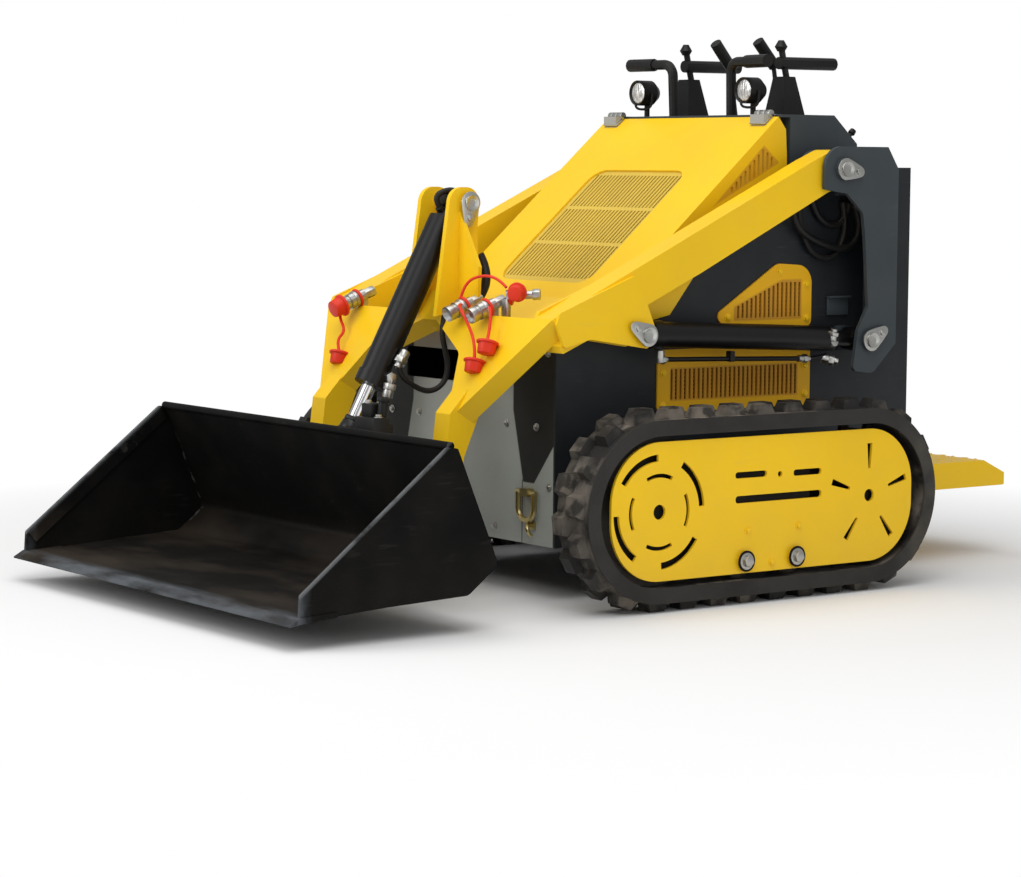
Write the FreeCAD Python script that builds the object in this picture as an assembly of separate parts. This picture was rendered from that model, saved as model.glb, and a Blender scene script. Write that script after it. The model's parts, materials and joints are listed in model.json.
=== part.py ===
"""Mini track loader: stand-behind loader on rubber tracks, millimetres, +X forward, +Y left, +Z up.

The origin is on the ground, midway between the bucket's lip and the rear edge of the ride-on platform.
Every function below returns one sub-part; the table at the end writes each to its own STEP file.
"""
import FreeCAD
import Part
import math
import os

V = FreeCAD.Vector

# ---------------------------------------------------------------- driving dimensions
bucket_width = 1100.0           # over the bucket's side plates
track_width = 1100.0            # over both belts
belt_width = 100.0

hub_height = 199.0              # wheel centres above the ground, also the radius to the lugs' tips
front_hub_x = 181.0
rear_hub_x = -374.0
lug_height = 18.0
belt_thickness = 31.0
lug_pitches = 29

body_half = 325.0               # outer faces of the side panels
body_front_x = 275.0
body_rear_x = -681.0
body_floor_z = 110.0
body_top_z = 874.0
deck_low = (275.0, 528.0)       # sloping top edge of the body, front end
deck_high = (-352.0, 835.0)     # and rear end
sheet = 6.0                     # body sheet thickness

hood_half = 294.0
hood_hinge = (-322.0, 986.0)
hood_top = (-327.0, 979.0)
hood_foot = (116.0, 595.0)
hood_sheet = 4.0

arm_pivot = (-398.0, 870.0)
arm_inner = 347.0               # inner and outer faces of the arms' straight rear halves
arm_outer = 407.0
arm_elbow = (347.0, 573.0)      # top of the bend, where the front plate starts
arm_toe = (468.0, 385.0)        # foot of the sloping front plate
toe_outer = 252.0               # half-width over the arms at the toe
box_depth = 45.0                # depth of the sloping front box

tower_outer = 421.0
tower_sheet = 9.0

cylinder_y = 377.0
lift_foot = (-478.0, 511.0)     # barrel pin on the tower
lift_eye = (120.0, 538.0)       # rod pin on the arm's gusset
barrel_radius = 26.0
rod_radius = 14.0
pin_radius = 12.5
arm_pin_radius = 17.0
running_fit = 0.05

tilt_head = (306.0, 796.0)      # barrel pin in the bracket on the arms
tilt_eye = (565.0, 315.0)       # rod pin on the quick-attach frame
tilt_barrel_radius = 30.0
tilt_rod_radius = 15.0
bucket_pivot = (500.0, 175.0)
leg_inner = 205.0               # faces of the arms' lower legs
leg_outer = 255.0

bar_radius = 11.0


# ---------------------------------------------------------------- shape helpers
def rounded(corners, radius, place):
    """Closed wire through 2-D corners, each rounded; a corner may carry its own radius as a third value."""
    count = len(corners)
    starts = []
    ends = []
    mids = []
    for i in range(count):
        here = corners[i]
        size = here[2] if len(here) > 2 else radius
        before = corners[i - 1]
        after = corners[(i + 1) % count]
        back = (before[0] - here[0], before[1] - here[1])
        ahead = (after[0] - here[0], after[1] - here[1])
        back_len = math.hypot(*back)
        ahead_len = math.hypot(*ahead)
        u = (back[0] / back_len, back[1] / back_len)
        w = (ahead[0] / ahead_len, ahead[1] / ahead_len)
        half = 0.5 * math.acos(max(-1.0, min(1.0, u[0] * w[0] + u[1] * w[1])))
        if size <= 0.0 or abs(half - math.pi / 2) < 1e-6:
            starts.append(here[:2])
            ends.append(here[:2])
            mids.append(None)
            continue
        reach = size / math.tan(half)
        bisector = (u[0] + w[0], u[1] + w[1])
        norm = math.hypot(*bisector)
        offset = size / math.sin(half) - size
        starts.append((here[0] + u[0] * reach, here[1] + u[1] * reach))
        ends.append((here[0] + w[0] * reach, here[1] + w[1] * reach))
        mids.append((here[0] + bisector[0] / norm * offset, here[1] + bisector[1] / norm * offset))
    edges = []
    for i in range(count):
        if mids[i] is not None:
            edges.append(Part.Arc(place(*starts[i]), place(*mids[i]), place(*ends[i])).toShape())
        nxt = (i + 1) % count
        if math.hypot(starts[nxt][0] - ends[i][0], starts[nxt][1] - ends[i][1]) > 1e-6:
            edges.append(Part.LineSegment(place(*ends[i]), place(*starts[nxt])).toShape())
    return Part.Wire(edges)


def side_prism(corners, y0, y1, radius=0.0):
    """Side-view (X, Z) outline carried across from y0 to y1."""
    wire = rounded(corners, radius, lambda a, b: V(a, y0, b))
    return Part.Face(wire).extrude(V(0, y1 - y0, 0))


def front_prism(corners, x0, x1, radius=0.0):
    """Front-view (Y, Z) outline carried forward from x0 to x1."""
    wire = rounded(corners, radius, lambda a, b: V(x0, a, b))
    return Part.Face(wire).extrude(V(x1 - x0, 0, 0))


def block(x0, x1, y0, y1, z0, z1):
    return Part.makeBox(x1 - x0, y1 - y0, z1 - z0, V(x0, y0, z0))


def cross_bar(x, z, radius, y0, y1):
    """Cylinder across the machine."""
    return Part.makeCylinder(radius, y1 - y0, V(x, y0, z), V(0, 1, 0))


def many_sided(x, z, radius, y0, y1, sides):
    """Flat-sided bar across the machine, for wheels and hubs behind the cover plate."""
    corners = []
    for i in range(sides):
        turn = 2 * math.pi * (i + 0.5) / sides
        corners.append((x + radius * math.cos(turn), z + radius * math.sin(turn)))
    return side_prism(corners, y0, y1)


def tapered_block(low, high):
    """Solid between two four-cornered faces with matching corners."""
    faces = [Part.Face(Part.makePolygon(ring + ring[:1])) for ring in (low, high)]
    for i in range(4):
        j = (i + 1) % 4
        faces.append(Part.Face(Part.makePolygon([low[i], low[j], high[j], high[i], low[i]])))
    solid = Part.makeSolid(Part.makeShell(faces))
    if solid.Volume < 0:
        solid.reverse()
    return solid


def bent_tube(points, radius, bend, sides=0):
    """Bar through the points, round or many-sided, with an arc at each inner point."""
    pts = [V(*p) for p in points]
    bends = bend if isinstance(bend, (list, tuple)) else [bend] * (len(pts) - 2)
    edges = []
    start = pts[0]
    for i in range(1, len(pts) - 1):
        back = (pts[i - 1] - pts[i]).normalize()
        ahead = (pts[i + 1] - pts[i]).normalize()
        half = 0.5 * back.getAngle(ahead)
        reach = bends[i - 1] / math.tan(half)
        entry = pts[i] + back * reach
        leave = pts[i] + ahead * reach
        middle = pts[i] + (back + ahead).normalize() * (bends[i - 1] / math.sin(half) - bends[i - 1])
        if (entry - start).Length > 1e-6:
            edges.append(Part.LineSegment(start, entry).toShape())
        edges.append(Part.Arc(entry, middle, leave).toShape())
        start = leave
    edges.append(Part.LineSegment(start, pts[-1]).toShape())
    path = Part.Wire(edges)
    section = Part.Wire(Part.makeCircle(radius, pts[0], pts[1] - pts[0]))
    if sides:
        along = (pts[1] - pts[0]).normalize()
        first = along.cross(V(1, 0, 0) if abs(along.y) > 0.9 else V(0, 1, 0)).normalize()
        second = along.cross(first)
        ring = []
        for i in range(sides + 1):
            turn = 2 * math.pi * i / sides
            ring.append(pts[0] + first * (radius * math.cos(turn)) + second * (radius * math.sin(turn)))
        section = Part.makePolygon(ring)
    return path.makePipeShell([section], True, False)


def gentle_bends(points):
    """Arc radii that each inner point's two runs allow."""
    pts = [V(*p) for p in points]
    radii = []
    for i in range(1, len(pts) - 1):
        back = pts[i - 1] - pts[i]
        ahead = pts[i + 1] - pts[i]
        turn = math.pi - back.getAngle(ahead)
        radii.append(0.45 * min(back.Length, ahead.Length) / math.tan(turn / 2))
    return radii


def fused(shapes):
    return shapes[0].multiFuse(shapes[1:]).removeSplitter()


def mirrored(shape):
    """The same piece on the machine's other side."""
    return shape.mirror(V(0, 0, 0), V(0, 1, 0))


def both_sides(shape):
    return Part.makeCompound([shape, mirrored(shape)])


# ---------------------------------------------------------------- tracks (left side, mirrored for the right)
track_outer = track_width / 2
belt_inner_y = track_outer - belt_width
carcass_radius = hub_height - lug_height
inner_radius = carcass_radius - belt_thickness
hub_span = front_hub_x - rear_hub_x


def loop_prism(radius, y0, y1):
    """Loop around both hubs: two half circles joined by straights."""
    top = hub_height + radius
    bottom = hub_height - radius

    def at(x, z):
        return V(x, y0, z)

    edges = [
        Part.LineSegment(at(rear_hub_x, top), at(front_hub_x, top)).toShape(),
        Part.Arc(at(front_hub_x, top), at(front_hub_x + radius, hub_height),
                 at(front_hub_x, bottom)).toShape(),
        Part.LineSegment(at(front_hub_x, bottom), at(rear_hub_x, bottom)).toShape(),
        Part.Arc(at(rear_hub_x, bottom), at(rear_hub_x - radius, hub_height), at(rear_hub_x, top)).toShape(),
    ]
    return Part.Face(Part.Wire(edges)).extrude(V(0, y1 - y0, 0))


def on_loop(distance, radius):
    """Point and outward angle at a distance along the loop, from the rear end of the top run."""
    arc = math.pi * radius
    total = 2 * hub_span + 2 * arc
    s = distance % total
    if s < hub_span:
        return rear_hub_x + s, hub_height + radius, 90.0
    s -= hub_span
    if s < arc:
        turn = 90.0 - math.degrees(s / radius)
        a = math.radians(turn)
        return front_hub_x + radius * math.cos(a), hub_height + radius * math.sin(a), turn
    s -= arc
    if s < hub_span:
        return front_hub_x - s, hub_height - radius, -90.0
    s -= hub_span
    turn = -90.0 - math.degrees(s / radius)
    a = math.radians(turn)
    return rear_hub_x + radius * math.cos(a), hub_height + radius * math.sin(a), turn


lug_width = 43.0
lug_margin = 14.0               # smooth band left along the belt's outer edge
lug_root = 50.0
lug_tip = 35.0
lug_end_slope = 6.0
lug_sunk = 4.0                  # how deep a lug's root stands in the belt
# its place along the top run, so that no lug tips over a wheel's lowest point
first_lug = 6.5


def track_lug(y0, y1):
    """One lug, standing on the X axis: its four sides slope in to a flat tip."""
    def ring(x, half, inset):
        low, high = y0 + inset, y1 - inset
        return [V(x, low, -half), V(x, high, -half), V(x, high, half), V(x, low, half)]

    return tapered_block(ring(-lug_sunk, lug_root / 2, 0), ring(lug_height, lug_tip / 2, lug_end_slope))


def track_belt():
    """Rubber belt with two staggered columns of tapered lugs."""
    belt = loop_prism(carcass_radius, belt_inner_y, track_outer).cut(
        loop_prism(inner_radius, belt_inner_y - 1, track_outer + 1))
    pitch = (2 * hub_span + 2 * math.pi * carcass_radius) / lug_pitches
    lugs = []
    for column, y0 in enumerate((belt_inner_y, track_outer - lug_margin - lug_width)):
        for i in range(lug_pitches):
            x, z, turn = on_loop(first_lug + (i + 0.5 * column) * pitch, carcass_radius)
            lug = track_lug(y0, y0 + lug_width)
            lug.rotate(V(0, 0, 0), V(0, -1, 0), turn)
            lug.translate(V(x, 0, z))
            lugs.append(lug)
    return belt.multiFuse(lugs).removeSplitter()


plate_y0 = track_outer - 14
plate_y1 = track_outer - 8
plate_front = front_hub_x + 119
plate_rear = rear_hub_x - 119
plate_top = 337.0
plate_bottom = 62.0
plate_corner = 119.0
roller_xs = (-38.0, -172.0)
roller_z = 87.0


def arc_slot(cx, cz, radius, width, start, end):
    """Curved slot about a centre, from one angle to another in degrees."""
    def at(r, degrees):
        a = math.radians(degrees)
        return V(cx + r * math.cos(a), plate_y0 - 1, cz + r * math.sin(a))

    inner = radius - width / 2
    outer = radius + width / 2
    middle = 0.5 * (start + end)
    edges = [
        Part.Arc(at(outer, start), at(outer, middle), at(outer, end)).toShape(),
        Part.LineSegment(at(outer, end), at(inner, end)).toShape(),
        Part.Arc(at(inner, end), at(inner, middle), at(inner, start)).toShape(),
        Part.LineSegment(at(inner, start), at(outer, start)).toShape(),
    ]
    return Part.Face(Part.Wire(edges)).extrude(V(0, plate_y1 - plate_y0 + 2, 0))


def straight_slot(x0, x1, z, width):
    return side_prism([(x0, z - width / 2), (x1, z - width / 2), (x1, z + width / 2), (x0, z + width / 2)],
                      plate_y0 - 1, plate_y1 + 1, width * 0.45)


def ray_slot(cx, cz, turn, near, far, near_width, far_width):
    """Wedge slot pointing away from a hub, wider outward."""
    slot = side_prism([(near, -near_width / 2), (far, -far_width / 2),
                       (far, far_width / 2), (near, near_width / 2)],
                      plate_y0 - 1, plate_y1 + 1)
    slot.rotate(V(0, 0, 0), V(0, -1, 0), turn)
    slot.translate(V(cx, 0, cz))
    return slot


def track_plate():
    """Cover plate over the wheels, with slotted rings, rays and dashes, and the roller axles' bolt heads."""
    plate = side_prism([(plate_rear, plate_bottom), (plate_front, plate_bottom), (plate_front, plate_top),
                        (plate_rear, plate_top)], plate_y0, plate_y1, plate_corner)
    cuts = [cross_bar(front_hub_x, hub_height, 15, plate_y0 - 1, plate_y1 + 1),
            cross_bar(rear_hub_x, hub_height, 13, plate_y0 - 1, plate_y1 + 1)]
    for start in (33, 122, 212, 304):
        cuts.append(arc_slot(front_hub_x, hub_height, 107, 14, start, start + 55))
    for middle in (0, 90, 180, 270):
        cuts.append(arc_slot(front_hub_x, hub_height, 72, 8, middle - 26, middle + 26))
    for turn in (90, 18, -54, -126, 162):
        cuts.append(ray_slot(rear_hub_x, hub_height, turn, 56, 108, 6, 14))
    cuts.append(straight_slot(-95, -12, 260, 13))
    cuts.append(straight_slot(-241, -166, 257, 13))
    cuts.append(cross_bar(-130, 257, 6, plate_y0 - 1, plate_y1 + 1))
    cuts.append(straight_slot(-242, -13, 211, 15))
    plate = plate.cut(Part.makeCompound(cuts))
    heads = [cross_bar(x, roller_z, 17, plate_y1, plate_y1 + 7) for x in roller_xs]
    return plate.multiFuse(heads).removeSplitter()


beam_y0 = belt_inner_y + 22
wheel_y0 = belt_inner_y + 20
wheel_y1 = plate_y0 - 14
tire_radius = inner_radius - 1.0
wheel_sides = 32


def track_frame():
    """Beam between the wheels, its roller side plate, idler fork, cross tubes and the drive housing."""
    beam = block(-215, 22, wheel_y0, plate_y0, 150, 300)
    side = side_prism([(-250, 62), (60, 62), (60, 300), (-250, 300)], belt_inner_y + 8,
                      belt_inner_y + 16, 20)
    joiner = block(-215, 22, belt_inner_y + 16, wheel_y0, 170, 290)
    fork = block(20, front_hub_x - 8, belt_inner_y + 6, belt_inner_y + 16, hub_height - 22, hub_height + 22)
    fork_eye = many_sided(front_hub_x, hub_height, 30, belt_inner_y + 6, belt_inner_y + 16, 12)
    cross_front = block(-60, 30, body_half, belt_inner_y + 8, 165, 255)
    cross_rear = block(-250, -170, body_half, belt_inner_y + 8, 165, 255)
    motor = many_sided(rear_hub_x, hub_height, 82, body_half, belt_inner_y - 10, 20)
    motor_nose = many_sided(rear_hub_x, hub_height, 58, belt_inner_y - 10, wheel_y0, 20)
    tie = block(rear_hub_x + 60, -240, belt_inner_y - 40, belt_inner_y - 12, 165, 235)
    axles = [many_sided(x, roller_z, 12, belt_inner_y + 8, plate_y0, 12) for x in roller_xs]
    idler_axle = many_sided(front_hub_x, hub_height, 18, belt_inner_y + 6, plate_y0 - 6, 12)
    parts = [beam, side, joiner, fork, fork_eye, cross_front, cross_rear, motor, motor_nose, tie, idler_axle]
    return fused(parts + axles)


def track_wheels():
    """Front idler, rear toothed sprocket and two bottom rollers, as separate wheels."""
    idler = many_sided(front_hub_x, hub_height, tire_radius, wheel_y0, wheel_y1, wheel_sides)
    groove = many_sided(front_hub_x, hub_height, tire_radius - 16, wheel_y1 - 12, wheel_y1, wheel_sides)
    hub = many_sided(front_hub_x, hub_height, 40, wheel_y1 - 12, wheel_y1 - 2, 12)
    idler = idler.cut(groove).fuse(hub)
    idler = idler.cut(many_sided(front_hub_x, hub_height, 18, wheel_y0 - 1, wheel_y1 + 1, 12))
    disc = many_sided(rear_hub_x, hub_height, tire_radius - 14, wheel_y0, wheel_y0 + 16, wheel_sides)
    drive_hub = many_sided(rear_hub_x, hub_height, 55, wheel_y0 + 16, wheel_y1, 16)
    teeth = []
    for i in range(13):
        tooth = side_prism([(tire_radius - 24, -13), (tire_radius, -8),
                            (tire_radius, 8), (tire_radius - 24, 13)],
                           wheel_y0 + 2, wheel_y0 + 14)
        tooth.rotate(V(0, 0, 0), V(0, -1, 0), i * 360.0 / 13)
        tooth.translate(V(rear_hub_x, 0, hub_height))
        teeth.append(tooth)
    sprocket = fused([disc, drive_hub] + teeth)
    rollers = []
    for x in roller_xs:
        roller = many_sided(x, roller_z, roller_z - (hub_height - inner_radius) - 0.8, wheel_y0,
                            wheel_y1, 24)
        rollers.append(roller.cut(many_sided(x, roller_z, 12, wheel_y0 - 1, wheel_y1 + 1, 12)))
    return Part.makeCompound([idler, sprocket] + rollers)


# ---------------------------------------------------------------- body
def deck_z(x):
    """Height of the body's sloping top edge."""
    run = (x - deck_high[0]) / (deck_low[0] - deck_high[0])
    return deck_high[1] + run * (deck_low[1] - deck_high[1])


lower_vent = [(-395, 371), (19, 371), (19, 500), (-395, 500)]
upper_vent = [(-396, 538), (-109, 552), (-300, 672, 34), (-396, 666, 40)]


def side_panel():
    """Side sheet with the top edge folded inward beside the hood, and two vent openings."""
    outline = [(body_front_x, body_floor_z), (body_front_x, deck_low[1]), deck_high,
               (deck_high[0], body_top_z),
               (body_rear_x, body_top_z), (body_rear_x, 150), (-640, body_floor_z)]
    panel = side_prism(outline, body_half - sheet, body_half)
    fold = side_prism([(deck_low[0] - sheet, deck_low[1] - 2), (deck_high[0], deck_high[1]),
                       (deck_high[0], deck_high[1] - sheet), (deck_low[0] - sheet, deck_low[1] - 2 - sheet)],
                      hood_half + 5.5, body_half)
    through = (body_half - sheet - 1, body_half + 1)
    lower = side_prism([(-365, 390), (-10, 390), (-10, 470), (-365, 470)], *through, 12)
    upper = side_prism([(-372, 556), (-150, 566), (-306, 648), (-372, 642)], *through, 8)
    return panel.fuse(fold).cut(lower).cut(upper)


slit_pitch = 12.0
slit_width = 5.5


def upright_slits(first, last, foot, head, y0, y1):
    """Row of upright slits between two X positions, between the foot and head heights given at each X."""
    slits = []
    for i in range(int((last - first) / slit_pitch) + 1):
        x = first + i * slit_pitch
        slits.append(block(x - slit_width / 2, x + slit_width / 2, y0, y1, foot(x), head(x)))
    return Part.makeCompound(slits)


def side_grilles():
    """Yellow vent covers on both side panels, slit all over inside their borders."""
    y0 = body_half
    y1 = body_half + 4
    lower_slits = upright_slits(-354, -18, lambda x: 397, lambda x: 459, y0 - 1, y1 + 1)
    upper_slits = upright_slits(-362, -192, lambda x: 560, lambda x: min(632, 634 - (x + 310) * 0.42),
                                y0 - 1, y1 + 1)
    left = [side_prism(lower_vent, y0, y1, 14).cut(lower_slits),
            side_prism(upper_vent, y0, y1, 14).cut(upper_slits)]
    return Part.makeCompound(left + [mirrored(shape) for shape in left])


def front_panel():
    """Front sheet with a recessed opening behind the arms' cut-out."""
    panel = block(body_front_x - sheet, body_front_x, -body_half + sheet, body_half - sheet,
                  body_floor_z, deck_low[1] - 4)
    opening = front_prism([(-206, 424), (-8, 424), (-8, 489), (-206, 489)], body_front_x - sheet - 1,
                          body_front_x + 1, 8)
    return panel.cut(opening)


def front_cowl():
    """Fixed sloping sheet between the hood's foot and the front panel."""
    start = hood_foot[0] + 6
    return side_prism([(start, deck_z(start) - 2), (body_front_x, deck_low[1]),
                       (body_front_x - 3, deck_low[1] - 4), (start - 3, deck_z(start) - 8)],
                      -hood_half - 5, hood_half + 5)


def rear_panel():
    """Rear sheet and the flat deck over the rear of the body, bent from one piece."""
    back = block(body_rear_x, body_rear_x + sheet, -body_half + sheet, body_half - sheet, 150, body_top_z)
    deck = block(body_rear_x, deck_high[0] - 2, -body_half + sheet, body_half - sheet,
                 body_top_z - sheet, body_top_z)
    return back.fuse(deck)


def floor_pan():
    return side_prism([(body_front_x - sheet, body_floor_z), (-640, body_floor_z),
                       (body_rear_x + sheet, 148),
                       (body_rear_x + sheet, 156), (-637, body_floor_z + sheet),
                       (body_front_x - sheet, body_floor_z + sheet)], -body_half + sheet, body_half - sheet)


def engine_block():
    """Engine, pump and tank as one plain mass on the floor pan."""
    return block(-420, 20, -210, 210, body_floor_z + sheet, 560)


def console():
    """Dashboard housing behind the hood, with its sloping rear face."""
    outline = [(-360, body_top_z), (-360, 978), (-334, 978), (-334, 984), (-484, 984), (-551, 924),
               (-551, body_top_z)]
    return side_prism(outline, -hood_half, hood_half)


# ---------------------------------------------------------------- towers
def tower():
    """Arm tower: outer plate, rear and top webs, and the bosses that carry the pivot pins."""
    plate = side_prism([(-347, 828), (-347, 917, 46), (-524, 917, 6), (-555, 870, 6), (-555, 502),
                        (-490, 440, 22), (-433, 447, 12), (-447, 533), (-474, 582), (-462, 729, 20),
                        (-455, 778, 20), (-409, 819)],
                       tower_outer - tower_sheet, tower_outer, 3)
    rear_web = block(-555, -547, body_half, tower_outer, 502, 868)
    top_web = block(-524, -462, body_half, tower_outer - 1, 909, 917)
    top_leg = block(-524, -462, body_half, body_half + 8, body_top_z - 60, 917)
    top_rear = side_prism([(-524, 909), (-524, 917), (-555, 870), (-547, 866)], body_half, tower_outer)
    shapes = [plate, rear_web, top_web, top_leg, top_rear]
    pivots = ((arm_pivot, arm_pin_radius, 40, arm_inner - 2), (lift_foot, pin_radius, 27, arm_inner))
    for (x, z), pin, boss, boss_end in pivots:
        shapes.append(many_sided(x, z, boss, body_half, boss_end, 24))
        shapes.append(cross_bar(x, z, pin, body_half, tower_outer + 3))
        shapes.append(many_sided(x, z, pin + 7, tower_outer, tower_outer + 6, 24))
    return fused(shapes)


# ---------------------------------------------------------------- hood
def hood_z(x):
    return hood_top[1] + (x - hood_top[0]) * (hood_foot[1] - hood_top[1]) / (hood_foot[0] - hood_top[0])


mesh_high_x = -195.0
mesh_low_x = 75.0
mesh_half = 160.0


def slope_prism(corners, depth, radius=0.0, lift=0.0):
    """Outline in the hood's slope (distance down it, Y), carried inward from its outer face."""
    length = math.hypot(hood_foot[0] - hood_top[0], hood_foot[1] - hood_top[1])
    along = V((hood_foot[0] - hood_top[0]) / length, 0, (hood_foot[1] - hood_top[1]) / length)
    normal = V(-along.z, 0, along.x)
    start = V(hood_top[0], 0, hood_top[1]) + normal * lift
    wire = rounded(corners, radius, lambda a, b: start + along * a + V(0, b, 0))
    return Part.Face(wire).extrude(normal * -depth)


def slope_at(x):
    """Distance down the hood's slope at a given X."""
    length = math.hypot(hood_foot[0] - hood_top[0], hood_foot[1] - hood_top[1])
    return (x - hood_top[0]) / (hood_foot[0] - hood_top[0]) * length


def hood_shell():
    """Sloping hood with closed sides, an opening for the mesh and louvred triangles in the sides."""
    outline = [(hood_top[0], hood_top[1]), hood_foot, (hood_foot[0] - 8, hood_foot[1] - 2), (78, 619),
               (-352, 843), (-352, 893), (-348, 953)]
    outer = side_prism(outline, -hood_half, hood_half)
    dx, dz = hood_sheet * 0.655, hood_sheet * 0.7555
    inner = side_prism([(hood_top[0] - dx, hood_top[1] - dz),
                        (hood_foot[0] + 10 - dx, hood_foot[1] - 8.67 - dz),
                        (100, 560), (-400, 800), (-345, 893), (-341, 951)],
                       -hood_half + hood_sheet, hood_half - hood_sheet)
    shell = outer.cut(inner)
    a = slope_at(mesh_high_x)
    b = slope_at(mesh_low_x)
    window = slope_prism([(a, -mesh_half), (b, -mesh_half), (b, mesh_half), (a, mesh_half)], 30, 40, 10)
    shell = shell.cut(window)
    louvres = upright_slits(-310, -198, lambda x: 883 - (x + 325) * 0.51,
                            lambda x: min(881 + (x + 325) * 0.84, 912 - (x + 288) * 0.94),
                            -hood_half - 1, hood_half + 1)
    shell = shell.cut(louvres)
    knuckles = []
    for y in (-253, 253):
        knuckles.append(cross_bar(hood_hinge[0], hood_hinge[1], 6, y - 22, y + 22))
        knuckles.append(block(hood_hinge[0] - 4, hood_hinge[0] + 20, y - 22, y + 22, hood_hinge[1] - 22,
                              hood_hinge[1] - 2))
    return fused([shell] + knuckles)


def hood_mesh():
    """Vented panel lapped under the hood's window, with three banks of fine slits down the slope."""
    lap = 12.0
    a = slope_at(mesh_high_x) - lap
    b = slope_at(mesh_low_x) + 8
    panel = slope_prism([(a, -mesh_half - lap), (b, -mesh_half - lap), (b, mesh_half + lap),
                         (a, mesh_half + lap)],
                        2.5, 40, -4.4)
    banks = 3
    bank = (b - a - 40) / banks
    slits = []
    for row in range(banks):
        start = a + 20 + row * bank + 5
        for column in range(-12, 13):
            y0 = column * slit_pitch - slit_width / 2
            y1 = y0 + slit_width
            slits.append(slope_prism([(start, y0), (start + bank - 10, y0), (start + bank - 10, y1),
                                      (start, y1)],
                                     8, 0, -3))
    return panel.cut(Part.makeCompound(slits))


# ---------------------------------------------------------------- arms
def slant_prism(corners, depth, radius=0.0, lift=0.0):
    """Outline in the arms' sloping front plate (distance down from the elbow, Y), carried backward."""
    length = math.hypot(arm_toe[0] - arm_elbow[0], arm_toe[1] - arm_elbow[1])
    along = V((arm_toe[0] - arm_elbow[0]) / length, 0, (arm_toe[1] - arm_elbow[1]) / length)
    normal = V(-along.z, 0, along.x)
    start = V(arm_elbow[0], 0, arm_elbow[1]) + normal * lift
    wire = rounded(corners, radius, lambda a, b: start + along * a + V(0, b, 0))
    return Part.Face(wire).extrude(normal * -depth)


slant = math.hypot(arm_toe[0] - arm_elbow[0], arm_toe[1] - arm_elbow[1])


def arm():
    """Box arm from the tower pivot to the elbow, its lower leg and the gussets for the lift rod."""
    px, pz = arm_pivot
    beam = side_prism([(-328, 887), arm_elbow, (321, 505), (258, 531), (-26, 658), (-371, 823),
                       (-425, 832, 30),
                       (-440, 880, 40), (-400, 917, 40)], arm_inner, arm_outer, 4)
    bore = cross_bar(px, pz, arm_pin_radius + running_fit, arm_inner - 1, arm_outer + 4)
    boss = cross_bar(px, pz, 34, arm_outer, arm_outer + 3).cut(bore)
    beam = beam.cut(bore)
    gusset_outline = [(341, 564), (333, 586), (148, 657), (139, 653), (96, 554), (112, 510), (258, 533),
                      (321, 517)]
    outer_gusset = side_prism(gusset_outline, arm_outer, arm_outer + 8, 8)
    inner_gusset = side_prism(gusset_outline, arm_inner - 10, arm_inner, 8)
    heads = [cross_bar(lift_eye[0], lift_eye[1], 19, arm_outer + 8, arm_outer + 15),
             cross_bar(lift_eye[0], lift_eye[1], 17, arm_inner - 12, arm_inner - 10)]
    slot = side_prism([(90, 470), (170, 470), (170, 590), (90, 590)], arm_inner, arm_outer, 10)
    seat = slant_prism([(0, 300), (0, 440), (slant, 440), (slant, 300)], box_depth + 80, 0, 80)
    return fused([beam.cut(slot).cut(seat), boss, outer_gusset, inner_gusset.cut(seat)] + heads)


def front_box():
    """Sloping box across both arms, arched over the bucket's pivots."""
    outline = [(0, -arm_outer), (0, arm_outer), (slant, toe_outer), (slant + 4, 205), (slant - 30, 211, 20),
               (90, 161, 30), (20, 24, 20), (20, -24, 20), (90, -161, 30), (slant - 30, -211, 20),
               (slant + 4, -205), (slant, -toe_outer)]
    return slant_prism(outline, box_depth)


def crossmember():
    """Front box joining both arms, with the two legs down to the bucket's pivots."""
    box = front_box()
    qx, qz = bucket_pivot
    leg_outline = [(436, 434), (482, 384), (492, 300), (qx + 34, qz + 20, 30), (qx + 10, qz - 34, 30),
                   (qx - 34, qz - 20, 30), (448, 296), (405, 395)]
    legs = []
    for side in (1, -1):
        leg = side_prism(leg_outline, side * leg_inner, side * leg_outer, 6)
        legs.append(leg.cut(cross_bar(qx, qz, 16 + running_fit, -leg_outer - 1, leg_outer + 1)))
    return fused([box] + legs)


bracket_y0 = 46.0
bracket_y1 = 58.0
wing_x = 318.0


def tilt_bracket():
    """Two upright plates that carry the tilt cylinder's head pin, with the sloping wings beside them."""
    outline = [(382, 565), (345, 828, 32), (273, 828, 32), (280, 740, 30), (275, 647), (275, 590),
               (309, 560),
               (347, 573)]
    plates = []
    for side in (1, -1):
        plates.append(side_prism(outline, *sorted((side * bracket_y0, side * bracket_y1))))
        wing = [(side * bracket_y1, 575), (side * 124, 575), (side * 128, 668), (side * 84, 738),
                (side * bracket_y1, 778)]
        plates.append(front_prism(wing, wing_x, wing_x + 8))
    shelf = side_prism([(300, 560), (347, 573), (320, 615), (300, 600)], -bracket_y0, bracket_y0)
    pin = cross_bar(tilt_head[0], tilt_head[1], pin_radius, -bracket_y1 - 10, bracket_y1 + 10)
    return fused(plates + [shelf, pin])


coupler_ys = (116, 196, -284)


def couplers():
    """Hydraulic couplers, each on a short stand at the top edge of the front box."""
    pieces = []
    foot = [(330, 595), (347, 590), (347, 573.2), (330, 562.4)]
    for y in coupler_ys:
        stand = side_prism(foot, y - 9, y + 9)
        nipple = bent_tube([(336, y, 594), (384, y, 576)], 14, 0, 16)
        collar = bent_tube([(359, y, 585.4), (374, y, 579.8)], 17, 0, 16)
        pieces.append(fused([nipple, collar, stand]))
    return Part.makeCompound(pieces)


# ---------------------------------------------------------------- cylinders
def unit(a, b):
    d = V(b[0] - a[0], 0, b[1] - a[1])
    return d.normalize()


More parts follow.
